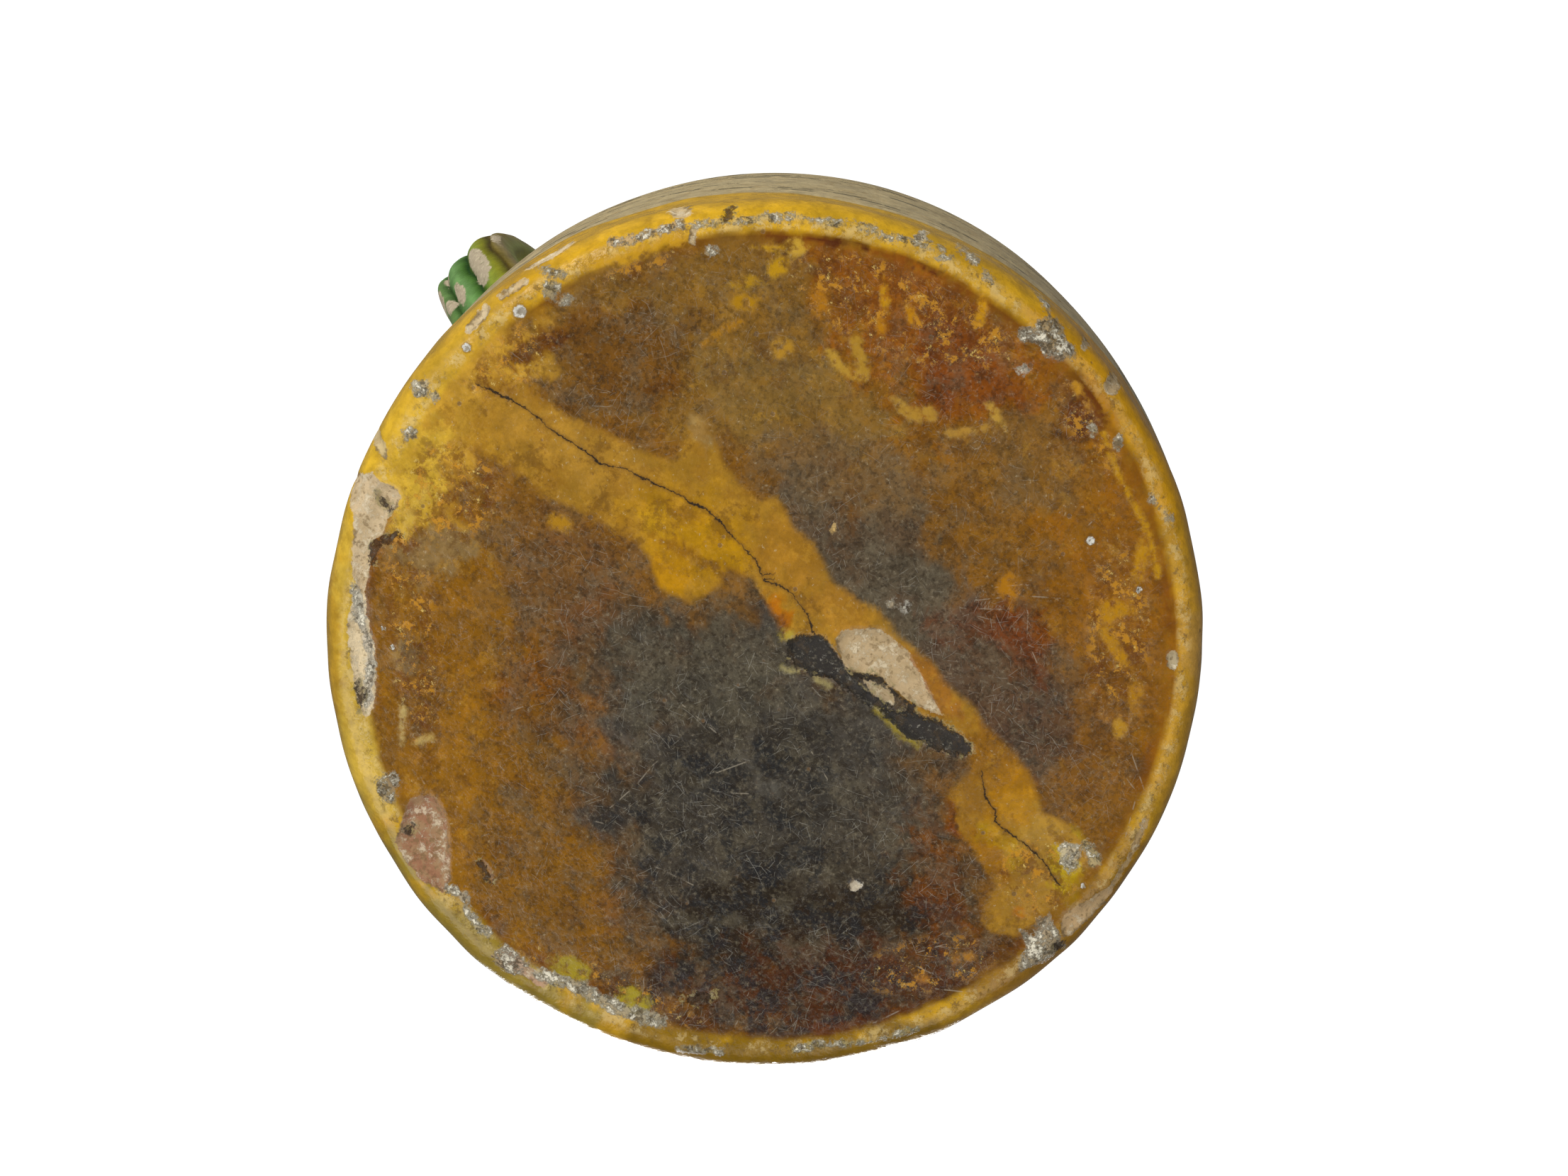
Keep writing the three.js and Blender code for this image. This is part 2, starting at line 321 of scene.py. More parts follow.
# The streak of thinner glaze that runs over the base beside the crack.
STREAK = [
    (-10, 32.5), (-8.5, 32), (-7.5, 30), (-6.3, 27.5), (-5.2, 25), (-3.5, 23), (-1, 20.3),
    (2, 21), (4, 17), (7, 14.5), (8.5, 12), (10, 9.5), (13.5, 6.5), (16, 5.5), (20, 0.5),
    (24, -2.5), (25.5, -5), (30, -9), (31.5, -11.5), (36, -15.5), (38, -19), (40, -24),
    (44, -25.5), (46, -28), (47, -31), (44, -38), (36, -42), (33, -41.5), (31.2, -39.5),
    (33, -34), (31, -31), (28.5, -28), (26, -26.5), (25.5, -23), (27, -20), (29.5, -18),
    (28, -13), (23, -10), (18, -6), (12, -2), (8, 1), (3, 1), (-1, 9.5), (-5, 11),
    (-6, 8.5), (-10, 6), (-12, 6.8), (-14.5, 8), (-16, 12), (-18, 14.5), (-22, 17),
    (-31, 21), (-40, 33), (-37, 38), (-28, 33), (-18, 28), (-12, 26),
]
STREAK_GROUND = "#9C742C"
STREAK_POOLS = [
    ("#A37A31", (-25, 27, 12, 5, -32), 0.5, 0.9),
    ("#A67A22", (-10, 16, 10, 6, -35), 0.5, 0.9),
    ("#B58A24", (-14.5, 17.5, 3, 2, -30), 0.5, 0.8),
    ("#AB7E17", (-6, 14, 5, 2.6, -30), 0.5, 0.9),
    ("#B07E18", (-13, 10, 3.2, 3, 0), 0.5, 0.8),
    ("#9C702A", (4, 13, 6, 4, -45), 0.5, 0.9),
    ("#A2752E", (11, 5.5, 6, 3, -40), 0.5, 0.9),
    ("#94632A", (24, -5.5, 6, 2.2, -52), 0.5, 0.9),
    ("#8D6023", (32, -16, 5, 6, -40), 0.5, 0.9),
    ("#8A6226", (31, -24, 5, 7, -20), 0.5, 0.8),
    ("#A57F36", (39, -27, 7, 4, -30), 0.5, 0.9),
    ("#9A7430", (40, -35, 6, 6, 0), 0.5, 0.9),
    ("#B08A1E", (33, -29, 3.5, 3.5, 0), 0.5, 0.8),
    ("#B0951F", (43, -33, 2.2, 5, 20), 0.5, 0.85),
    ("#A8741A", (36, -22, 3, 6, -30), 0.5, 0.6),
    ("#A8941E", (46, -24.5, 2.4, 2.4, 0), 0.5, 0.7),
    ("#6A380C", (26, -24, 1.4, 5, 12), 0.5, 0.8),
    ("#8B5A14", (31.5, -31, 3, 4, 20), 0.5, 0.8),
    ("#7A3F10", (26.5, -28, 1.6, 4, 35), 0.5, 0.8),
    ("#A9650F", (1, 4.2, 2.8, 2.6, 0), 0.5, 0.9),
    ("#7A480F", (2.0, 2.8, 1.6, 1.6, 0), 0.5, 0.8),
    ("#8E7850", (-9.0, 31.0, 1.8, 3.0, 10), 0.7, 0.7),
    ("#7C5320", (-10, 12.7, 5.2, 0.9, -25), 0.6, 0.7),
    ("#8A6224", (-10.7, 18.2, 2.2, 0.8, -10), 0.6, 0.6),
]

# The heel's yellow glaze around the foot, with painted light and shade: colour and the same sizes.
HEEL_GROUND = "#BC9129"
HEEL_RUST = "#6A3E10"
# Lighter pools on the top and left of the heel and darker ones along its bottom are painted light and
# shade;
# the pale pool at (61.5, 0) on its right is a painted highlight.
HEEL_POOLS_AND_PAINTED_LIGHT = [
    ("#C59A2B", (0, 62, 40, 8, 0), 0.5, 0.8),
    ("#C0A042", (-60, -6, 9, 26, 0), 0.5, 0.9),
    ("#C7A135", (-52, 32, 12, 20, -30), 0.5, 0.8),
    ("#8E7A34", (-40, -47, 24, 8, -48), 0.5, 0.9),
    ("#7F611C", (4, -61, 34, 7, 0), 0.5, 0.9),
    ("#B08A30", (-46, 42, 16, 5, 42), 0.5, 0.6),
    ("#A67E28", (-61.5, -2, 1.6, 13, 0), 0.5, 0.7),
    ("#CDA878", (61.5, 0, 2.4, 5, 0), 0.5, 0.8),
    ("#8B6428", (44, -43, 20, 8, 46), 0.5, 0.8),
    ("#B98C33", (61, -6, 8, 26, 0), 0.5, 0.8),
    ("#C08C1E", (52, 33, 12, 18, 32), 0.5, 0.8),
]

# The cream wall, the green run over its rim and round the strap's joints, and the inside.
CREAM = "#BFAD83"
CREAM_SHADE = "#B7A06C"
RIM_GREEN = "#6F8A45"
JOINT_GREEN = "#5C8442"
HONEY = "#B88A2C"
HONEY_POOL = "#8A5C1C"

# Splashes of yellow glaze: shape and colour.
SPLASHES = [
    ("area", [(0.4, 52.2), (0.7, 53.7), (2.5, 54.7), (3.7, 54), (3.4, 52.7), (1.7, 51.6)], "#B58A20"),
    ("spot", (4.7, 55.8, 1.5, 1.2, 0), "#C09A3A"),
    ("stroke", (0.5, [(4, 55.9), (1, 55.6), (-1.5, 56)]), "#B98E24"),
    ("spot", (-2.2, 51, 2.0, 0.7, 10), "#A98122"),
    ("spot", (-2.5, 48.2, 2.0, 1.2, 0), "#A67A1F"),
    ("stroke", (0.9, [(-8, 42.3), (-5.5, 44.5), (-3, 45.5)]), "#A0701C"),
    ("spot", (2.8, 42, 1.5, 1.5, 0), "#A97E2C"),
    ("stroke", (1.5, [(9.5, 41.2), (10.3, 39.8), (11.6, 38.8), (14.2, 38)]), "#B18B38"),
    ("stroke", (1.5, [(14.2, 38.2), (13.5, 41), (13, 43)]), "#A88232"),
    ("area", [(17.6, 35.2), (19.5, 35), (20.3, 33.8), (22, 33.5), (23.5, 34.3), (24.3, 33),
              (24, 31.7), (20.5, 31.6), (19, 33)], "#A88236"),
    ("area", [(31, 34), (32.2, 34.5), (33.8, 31.5), (34.2, 30.2), (32.5, 31.3)], "#B28C3C"),
    ("stroke", (1.0, [(26, 30), (28.5, 30.2), (31, 30.8)]), "#A98139"),
    ("spot", (30.5, 47, 0.7, 2.1, -12), "#BE8A12"),
    ("spot", (17, 49, 0.5, 2.0, 5), "#BE8C18"),
    ("spot", (16.5, 45, 0.9, 1.3, 0), "#B07814"),
    ("spot", (20.8, 46.3, 0.8, 1.4, 20), "#B57E14"),
    ("spot", (8, 48.5, 1.0, 2.2, 20), "#A87016"),
    ("spot", (34.5, 8.5, 1.6, 1.8, 0), "#A9721A"),
    ("stroke", (0.8, [(34.5, 7), (35, 5.5)]), "#A06A1C"),
    ("area", [(47, 3.5), (47.5, 6), (49.5, 6.8), (51.5, 6.3), (52.5, 4.5), (50.5, 4.2), (49.2, 3),
              (49.8, 1.2), (52, -3), (50.5, -3), (48.8, -0.5), (47.3, 1.5)], "#B17F18"),
    ("spot", (52.5, -7, 0.9, 2.0, 0), "#A9781E"),
    ("spot", (50.5, -11.7, 0.9, 1.3, 0), "#B0842C"),
    ("spot", (53, 12, 0.9, 3, -10), "#B5841C"),
    ("spot", (28.5, -45, 1.8, 0.8, 0), "#A8742A"),
    ("spot", (22.5, -48, 1.0, 0.7, 0), "#A8702A"),
    ("spot", (36.5, -38.3, 0.8, 0.8, 0), "#A8681A"),
    ("spot", (-28.5, 17.5, 1.9, 1.2, -20), "#A87B24"),
    ("stroke", (1.0, [(-44.5, 19), (-43.5, 17.5), (-42, 16.7)]), "#A87E2C"),
    ("stroke", (1.8, [(-25, 53.6), (-22, 54.2), (-19, 54.4), (-15, 56), (-11, 57.3)]), "#BF902A"),
    ("stroke", (0.9, [(-50.3, 15), (-49.8, 17), (-49.5, 19), (-47, 22)]), "#C2A044"),
    ("stroke", (0.8, [(-51, -9), (-51.2, -14)]), "#B9A266"),
    ("stroke", (0.8, [(-49.5, -14), (-47, -13.3)]), "#B49A58"),
    ("stroke", (0.7, [(47.5, 30), (49.5, 25), (52, 20), (54.5, 15), (55.5, 10)]), "#B98A20"),
    ("spot", (-18.5, -51.5, 2.6, 1.8, -25), "#A0902C"),
    ("spot", (-27.5, -46.8, 3.2, 1.6, -25), "#9C8A2C"),
    ("spot", (3.5, 1.5, 1.1, 1.0, 0), "#A8943C"),
    ("stroke", (0.9, [(16, -9), (18, -11), (20, -13), (22, -14.2)]), "#8F7E30"),
    ("stroke", (0.8, [(2.6, -3.2), (5, -3.6)]), "#9C9060"),
    ("stroke", (0.7, [(7.5, -5), (9.2, -5.6)]), "#9C9060"),
    ("stroke", (1.2, [(45.5, 38), (48, 34), (49.5, 31)]), "#A9741A"),
    ("stroke", (0.7, [(43.5, 37), (45.5, 33.5)]), "#B8862C"),
]

# Where the glaze is gone down to the clay: shape and colour of the clay.
CHIPS = [
    ("area", [(11, 2), (13, 2.3), (15, 2.4), (16.5, 2.3), (18, 1.2), (20.5, -1), (21.5, -3),
              (22.5, -4.5), (24.5, -8.5), (25.3, -10), (23.5, -9.3), (21.5, -8.3), (19.5, -7),
              (17.5, -5.3), (16, -4.3), (14, -4.2), (12.5, -3.8), (11.5, -2.5), (10.5, -0.5),
              (10.2, 0.5)], "#B59D78"),
    ("area", [(14.2, -4.8), (16.8, -5.2), (18.6, -7), (18.4, -8.6), (16.5, -7.6), (14.8, -6.4)],
     "#A08C6C"),
    ("area", [(-58, 24), (-55, 24.5), (-53.5, 23), (-51.5, 22.5), (-50.8, 21), (-51.5, 19.5),
              (-53, 17.5), (-53.5, 15.8), (-55, 14.5), (-55.3, 12), (-55.8, 9), (-56.3, 7.5),
              (-57.4, 7.7), (-58, 11.5), (-57.6, 18), (-58.6, 20)], "#C3AC88"),
    ("area", [(-57.6, 8), (-56.2, 8), (-55.8, 3), (-54.9, 0), (-54.8, -5), (-55.2, -9),
              (-56.4, -10.5), (-57.4, -8), (-58.2, -3), (-58.9, 2)], "#D3BF9A"),
    ("area", [(-50, -22), (-47.5, -21.5), (-46, -23), (-45.2, -25), (-44.8, -29), (-44.7, -34),
              (-45.5, -35.8), (-47, -35), (-49.5, -33.5), (-51.3, -31), (-52.5, -28.5),
              (-51.5, -25.5)], "#93694E"),
    ("area", [(-34.5, 52.5), (-32.5, 55), (-30, 56.3), (-27, 58), (-26, 57.6), (-27, 56),
              (-30, 54), (-33, 52.6)], "#C9B48F"),
    ("stroke", (0.9, [(-36.5, 49), (-33, 51.2)]), "#BFA57A"),
    ("stroke", (1.3, [(-41, 44.5), (-38.7, 47.2)]), "#C6B18C"),
    ("spot", (-54.4, 28.8, 0.9, 2.4, 35), "#BEA878"),
    ("area", [(50.3, -34.5), (48, -35.5), (45.5, -37), (43, -38.5), (42.3, -40), (42.7, -42),
              (44, -41.8), (46.5, -39.5), (49, -37)], "#B89A70"),
    ("stroke", (0.9, [(50, -34.5), (52.5, -30), (54.2, -25)]), "#B49667"),
    ("spot", (-11.5, 60.8, 1.7, 0.8, 0), "#BFA880"),
    ("stroke", (1.0, [(-9.3, 58.6), (-9.8, 56.7)]), "#BFA880"),
    ("stroke", (1.8, [(-36.5, -45), (-34, -47.3), (-31.5, -48.8)]), "#B28F74"),
    ("spot", (46, 43.3, 0.8, 1.9, -35), "#B39C78"),
    ("spot", (49, 36.8, 1.2, 1.5, -20), "#B49C76"),
    ("spot", (57.7, -2, 0.8, 1.4, 0), "#A89878"),
    ("spot", (9.9, 16.5, 0.5, 0.85, -15), "#C0A064"),
    ("spot", (13, -34.5, 1.0, 0.75, 0), "#C4BEB0"),
]

# Kiln grit and lime stuck to the base: shape and colour.
GRIT = [
    ("area", [(38, 45), (39.5, 46.3), (40.8, 45.8), (42.3, 44.8), (42, 43.3), (43.5, 41.5),
              (43.7, 40.6), (41, 39.9), (39.5, 41), (38.5, 42.5), (36, 43), (35.5, 44.2),
              (36.5, 44.6)], "#8C8068"),
    ("spot", (36.4, 39.2, 0.9, 0.6, 0), "#C4BCA8"),
    ("area", [(36.5, -40.8), (38.5, -42), (39.5, -39), (41, -38.6), (42, -41), (42.5, -43.5),
              (41, -45), (39.5, -46), (37, -47), (36, -46.5), (36.5, -44.5), (37.6, -43)], "#A2957C"),
    ("area", [(41.5, -28.5), (43.5, -28.2), (45, -29), (45, -31.5), (43.5, -32.5), (42, -31)],
     "#BFB498"),
    ("stroke", (1.6, [(46, -28.5), (47, -31)]), "#B0A074"),
    ("stroke", (1.3, [(-57.4, 8), (-57, 5.5), (-56.6, 2.5), (-55.7, 0), (-55.6, -4), (-56, -8.5)]),
     "#BDB3A0"),
    ("spot", (-53.3, -20.5, 1.7, 2.3, 0), "#8E7D62"),
    ("stroke", (1.2, [(-44.8, -35), (-43, -36), (-42.5, -38), (-41.5, -40), (-39.5, -41.5)]),
     "#A79C84"),
    ("stroke", (2.0, [(-32, -47.8), (-28, -48.8), (-25, -50.2), (-20, -53), (-15, -54.5)]),
     "#A79C80"),
    ("area", [(-39.3, -44.8), (-37, -43.2), (-35, -44.7), (-33.4, -46.2), (-35.5, -48.2),
              (-37.8, -46.8)], "#A58F78"),
    ("stroke", (0.9, [(-10, 59), (-6.5, 59.3), (0, 59.8), (4, 60), (7, 59.5), (10, 59.2),
                      (15, 58.6), (17, 57.4), (20, 57), (25, 55.7)]), "#BCA46C"),
    ("area", [(20.3, 56.9), (21.5, 57.7), (23, 58.4), (22.9, 56.9), (21.5, 56.3)], "#CFC8B4"),
    ("stroke", (1.1, [(27.5, 55.8), (29.8, 54)]), "#9C9078"),
    ("spot", (25.5, 54.5, 1.0, 0.5, -20), "#A39A80"),
    ("spot", (31.2, 51.8, 1.0, 0.6, -40), "#A39A84"),
    ("stroke", (0.9, [(38.3, 50), (39.8, 47)]), "#A89C80"),
    ("spot", (-28.7, 52.3, 2.0, 0.7, -15), "#8E8264"),
    ("spot", (-29.3, 50, 1.3, 1.4, 0), "#8D8468"),
    ("spot", (-27.5, 48.6, 1.2, 0.7, 30), "#A0967C"),
    ("stroke", (1.3, [(-21, 56.5), (-17.5, 57), (-14, 58.2), (-11, 59.2)]), "#AE9470"),
    ("spot", (-47.8, 36.2, 1.2, 1.7, -30), "#A39A84"),
    ("spot", (-46, 35.3, 0.7, 0.8, 0), "#B4A98C"),
    ("spot", (-49.5, 30, 1.2, 1.2, 0), "#9E927A"),
    ("stroke", (1.0, [(54.5, 21), (57, 18)]), "#AA9A78"),
    ("spot", (46, 30.2, 0.6, 0.9, 0), "#B4A684"),
    ("spot", (49.6, 28.8, 0.5, 1.0, 0), "#B4A684"),
    ("spot", (-6.8, 55.2, 0.9, 0.7, 0), "#A09070"),
    ("spot", (25.5, -13.8, 1.1, 0.55, -20), "#B9B5A6"),
    ("spot", (18, 6, 0.8, 0.6, 0), "#A8987C"),
    ("spot", (20, 5.5, 0.45, 0.6, 0), "#CFC9BA"),
    ("stroke", (0.9, [(-12, -58.5), (-6, -58.8)]), "#A09068"),
    ("stroke", (1.0, [(4.5, -58.7), (8, -57.6), (14, -57.5), (18, -56.5), (22, -55.5)]), "#A39668"),
]

# The soot-black gash where the base tore open in firing.
TEARS = [
    ("area", [(3.3, 0.8), (6.5, 1.5), (8.5, 1), (10, -0.5), (11.5, -3), (13.5, -5.5), (18, -9.2),
              (21, -9.8), (25, -10.8), (28, -12.8), (30, -15), (28.5, -16), (26, -15.5),
              (23, -14.2), (20, -12.6), (18, -10.8), (15, -8), (11.5, -6.2), (9.5, -4.8),
              (7, -4), (5, -3), (3.8, -1.5)], "#2D2A27"),
    ("stroke", (0.7, [(12.5, -4.2), (16, -4.6), (17.5, -5.6), (21, -9)]), "#2C261C"),
    ("spot", (-53.2, 20.2, 0.5, 1.1, 40), "#4A3A28"),
    ("spot", (-57.2, -7.1, 0.4, 1.2, 10), "#4A3A28"),
    ("spot", (-50.4, -26.8, 0.6, 0.7, 0), "#40301E"),
    ("spot", (42, -43.4, 0.7, 0.6, 0), "#40301E"),
    ("stroke", (0.7, [(-40.2, -31.5), (-39, -34)]), "#4A3518"),
    ("spot", (-9, -51, 1.5, 0.7, 10), "#45321E"),
    ("stroke", (0.8, [(-5.8, 58.3), (-4.3, 61.2)]), "#6E5226"),
    ("stroke", (0.8, [(-55.3, 12), (-54, 14.5), (-51.3, 15.8)]), "#54391A"),
]

# Where the glaze ran in amber and gold drips over rust brown.
DRIP_ZONES = [
    (20, 47.5, 17, 7, -20), (47, 33, 5, 9, 20), (50, 2, 4.5, 13, 0), (-49.5, 2, 3.5, 19, 5),
    (-22, -51, 16, 4, -25), (-44, 22, 7, 7, 0), (-36, 41, 7, 5, 40), (24, -46, 10, 4, 10),
    (-18, 54, 9, 2.4, 15), (40, -33, 7, 6, 0),
]

# Round pits where bubbles burst in the glaze, each with a pale rim painted as a silvery highlight.
PITS = [
    (-33.8, 47, 0.9), (-41.3, 42, 0.6), (-53.6, 2.4, 0.4), (-52.4, -0.3, 0.4), (52.8, 8, 0.5),
    (46, 15, 0.6), (45.5, -34.5, 0.4),
]

CRACK_LINES = [
    [(-39.5, 36.8), (-36.5, 35.3), (-35, 34.6), (-33, 33.4), (-31.5, 32.2), (-30, 30.7),
     (-28.5, 29.9), (-26.5, 28.5), (-25, 27.7), (-22.8, 25.8), (-21.5, 25.3), (-19, 25),
     (-17.5, 24), (-16, 23.4), (-14.5, 22.6), (-11.5, 21.3), (-10, 20.2), (-8.5, 19.6),
     (-7, 18.6), (-5.5, 17), (-4, 15.2), (-1.5, 12.7), (-0.7, 11.7), (-0.3, 10.5),
     (0.2, 9.2), (2, 8.7), (3.7, 7.7)],
    [(0, 10), (1.2, 10.2)],
    [(4.5, 6.8), (6.5, 4), (7, 2)],
    [(31, -18.5), (31.5, -21.7), (33, -23.7), (33, -25.3), (35.5, -27.2), (37.5, -28.8),
     (39, -30), (40.5, -31.8), (41, -33), (42, -34)],
]

SCRATCH_LINES = [
    [(-22.5, -24), (-18, -20), (-15.5, -17), (-13, -15)],
    [(-10.5, -19.7), (-2, -16.5)],
    [(-9, -21), (0, -21.3)],
    [(-9, -28.5), (-6, -25.5)],
    [(-25, -25), (-20, -26.3)],
    [(-2.3, -50.5), (-3, -53), (-4, -55)],
    [(37.3, 5), (37.2, 1), (38.8, -2.8)],
    [(30, 6.5), (36, 7.2), (42, 6.8)],
    [(31, 8.2), (37, 8.8)],
    [(28, 5.4), (34, 5.2)],
    [(16, -54.5), (20, -52.5)],
    [(21, -44.5), (26, -43)],
    [(24, -49.5), (29, -50)],
    [(21.5, -46), (24, -47.3)],
    [(50, -17), (53, -21), (51.5, -27)],
    [(52, -15), (54.5, -22)],
    [(-36, -9.5), (-34, -8.8)],
    [(47, 18.5), (45.5, 17)],
    [(-12, -8), (-6, -13)],
    [(5, -12), (9, -19)],
    [(-15, -32), (-9, -35)],
]

# Colour of the glaze across the strap from its -Y edge to its +Y edge, in millimetres, with painted
# shade: the darkest bands, at -4.1, 1.0 and 6.2, lie in the valleys between the ribs.
STRAP_BANDS_AND_SHADE = [
    (-7.7, "#6B7A50"), (-6.0, "#66804A"), (-4.8, "#4F6C3A"), (-4.1, "#28401C"),
    (-3.4, "#5A7E48"), (-1.6, "#6A8E54"), (0.0, "#46682F"), (1.0, "#1C3410"),
    (1.8, "#5C7430"), (3.2, "#7F8A36"), (5.0, "#747420"), (6.2, "#3E340E"), (6.9, "#6E6030"),
    (7.7, "#7A6E50"),
]
STRAP_BACK = "#7F8A50"
# Where its glaze is rubbed off: across and along the strap, and half sizes. The narrow one at 7.3
# across is no rub but a painted highlight near the strap's edge.
STRAP_RUBS_AND_HIGHLIGHT = [
    (3.0, 19, 1.8, 7.5), (2.2, 14, 1.3, 4.0), (-6.9, 22, 1.3, 4.5), (-5.4, 15.5, 1.2, 2.6),
    (-3.7, 29, 0.9, 4.5), (-2.6, 15.5, 1.1, 4.4), (7.3, 30, 0.5, 5), (-5.6, 47, 1.4, 3),
    (4.4, 45, 1.3, 5), (-2.0, 56, 1.6, 4), (3.0, 66, 1.8, 5), (-1.0, 80, 2.2, 3),
]

# ---- body ---------------------------------------------------------------------------


def outside_line():
    """The outside from the edge of the flat up to the rim, as radius and height."""
    belly_rise = BELLY_HEIGHT - HEEL_HEIGHT
    shoulder_rise = NECK_HEIGHT - BELLY_HEIGHT
    neck_rise = RIM_HEIGHT - NECK_HEIGHT
    return [
        [(FOOT_RADIUS, 0), (HEEL_RADIUS, 0), (HEEL_RADIUS, HEEL_HEIGHT)],
        [(HEEL_RADIUS, HEEL_HEIGHT), (HEEL_RADIUS + 2, HEEL_HEIGHT + 0.3 * belly_rise),
         (BELLY_RADIUS, BELLY_HEIGHT - 0.35 * belly_rise), (BELLY_RADIUS, BELLY_HEIGHT)],
        [(BELLY_RADIUS, BELLY_HEIGHT), (BELLY_RADIUS, BELLY_HEIGHT + 0.5 * shoulder_rise),
         (NECK_RADIUS, NECK_HEIGHT - 0.4 * shoulder_rise), (NECK_RADIUS, NECK_HEIGHT)],
        [(NECK_RADIUS, NECK_HEIGHT), (NECK_RADIUS, NECK_HEIGHT + 0.4 * neck_rise),
         (RIM_RADIUS - 1, RIM_HEIGHT - 0.3 * neck_rise), (RIM_RADIUS, RIM_HEIGHT)],
    ]


def dense(curves):
    return [bezier(curve, share) for curve in curves for share in np.linspace(0, 1, 60)]


def inside_line():
    """Over the rim, down the inside of the wall and across the floor."""
    middle = RIM_RADIUS - WALL / 2
    turns = np.linspace(0, math.pi, 12)
    rim = [(middle + WALL / 2 * math.cos(a), RIM_HEIGHT + WALL / 2 * math.sin(a)) for a in turns]
    wall = [(r - WALL, z) for r, z in dense(outside_line()[1:]) if z > FLOOR + INNER_CORNER]
    foot = HEEL_RADIUS - WALL
    corner = [[(foot, FLOOR + INNER_CORNER), (foot, FLOOR), (foot - INNER_CORNER, FLOOR)],
              [(foot - INNER_CORNER, FLOOR), (2, FLOOR)]]
    return rim + wall[::-1] + dense(corner)


def outside_radius(height):
    line = np.array(dense(outside_line()))
    return float(np.interp(height, line[:, 1], line[:, 0]))


class Mesh:
    """Points and faces of a mesh while it is built, with a place on the bake map."""

    def __init__(self):
        self.points = []
        self.faces = []
        self.map = []
        self.total = 0

    def add_points(self, points):
        first = self.total
        self.points.append(np.array(points, float))
        self.total += len(points)
        return first

    def add_face(self, corners, places):
        self.faces.append(corners)
        self.map.extend(places)

    def ring(self, radius, height, count, place):
        """A ring of points, with the function that places each of them on the bake map."""
        angles = START_ANGLE + 2 * math.pi * np.arange(count) / count
        level = np.full(count, height)
        first = self.add_points(np.stack([radius * np.cos(angles), radius * np.sin(angles), level], 1))
        return Ring(first, count, [place(i / count) for i in range(count + 1)])

    def join(self, low, high):
        """Faces between two rings with as many points, or half as many in the second."""
        for i in range(high.count):
            if low.count == high.count:
                self.add_face([low.at(i), low.at(i + 1), high.at(i + 1), high.at(i)],
                              [low.map[i], low.map[i + 1], high.map[i + 1], high.map[i]])
            else:
                a, b, c = 2 * i, 2 * i + 1, 2 * i + 2
                self.add_face([low.at(a), low.at(b), high.at(i)],
                              [low.map[a], low.map[b], high.map[i]])
                self.add_face([low.at(b), low.at(c), high.at(i + 1)],
                              [low.map[b], low.map[c], high.map[i + 1]])
                self.add_face([low.at(b), high.at(i + 1), high.at(i)],
                              [low.map[b], high.map[i + 1], high.map[i]])


class Ring:
    def __init__(self, first, count, places):
        self.first = first
        self.count = count
        self.map = places

    def at(self, i):
        return self.first + i % self.count

    def moved(self, place):
        """The same ring, at another place on the bake map."""
        return Ring(self.first, self.count, [place(i / self.count) for i in range(self.count + 1)])


def square_to_disc(a, b):
    """Carries a grid over the square from -1 to 1 onto a disc, with even cells."""
    flat = np.abs(a) > np.abs(b)
    safe_a = np.where(a == 0, 1, a)
    safe_b = np.where(b == 0, 1, b)
    angle = np.where(flat, math.pi / 4 * b / safe_a, math.pi / 2 - math.pi / 4 * a / safe_b)
    radius = np.where(flat, a, b)
    return radius * np.cos(angle), radius * np.sin(angle)


def base_place(x, y, spread):
    """Place on the bake map of a point of the base, spread millimetres wide."""
    half = BASE_ISLAND + MAP_GAP
    return (half + BASE_ISLAND * x / spread, half + BASE_ISLAND * y / spread)


def add_base(mesh, spread):
    """The flat of the base, and the ring that its edge makes."""
    steps = np.linspace(-1, 1, BASE_CELLS + 1)
    a, b = np.meshgrid(steps, steps)
    x, y = square_to_disc(a, b)
    x, y = x.ravel() * FOOT_RADIUS, y.ravel() * FOOT_RADIUS
    first = mesh.add_points(np.stack([x, y, np.zeros_like(x)], 1))
    row = BASE_CELLS + 1
    places = [base_place(px, py, spread) for px, py in zip(x, y)]
    for j in range(BASE_CELLS):
        for i in range(BASE_CELLS):
            corner = j * row + i
            corners = [corner, corner + row, corner + row + 1, corner + 1]
            mesh.add_face([first + c for c in corners], [places[c] for c in corners])
    side = np.arange(BASE_CELLS)
    last = BASE_CELLS
    edge = [*(side * row + last), *(last * row + last - side), *((last - side) * row), *side]
    return EdgeRing([first + e for e in edge], [places[e] for e in edge])


class EdgeRing(Ring):
    """The ring made by the edge of the base, whose points are not in one run."""

    def __init__(self, points, places):
        super().__init__(0, len(points), [*places, places[0]])
        self.numbers = points

    def at(self, i):
        return self.numbers[i % self.count]


def add_foot(mesh, edge, line, spread):
    """The rounded edge of the foot, kept on the same island as the base."""
    run = FOOT_RADIUS
    ring = edge
    before = line[0]
    for radius, height in line[1:]:
        run += math.hypot(radius - before[0], height - before[1])
        before = (radius, height)

        def place(turn, run=run):
            angle = START_ANGLE + 2 * math.pi * turn
            return base_place(run * math.cos(angle), run * math.sin(angle), spread)

        following = mesh.ring(radius, height, ring.count, place)
        mesh.join(ring, following)
        ring = following
    return ring


def add_strip(mesh, ring, line, count, place):
    """Rings along a line on an island of its own, where place(turn, share) puts them."""
    lengths = np.hypot(*np.diff(line, axis=0).T)
    shares = np.concatenate([[0], np.cumsum(lengths)]) / lengths.sum()
    ring = ring.moved(lambda turn: place(turn, 0.0))
    for (radius, height), share in zip(line[1:], shares[1:]):
        following = mesh.ring(radius, height, count, lambda turn, share=share: place(turn, share))
        mesh.join(ring, following)
        ring = following
    return ring


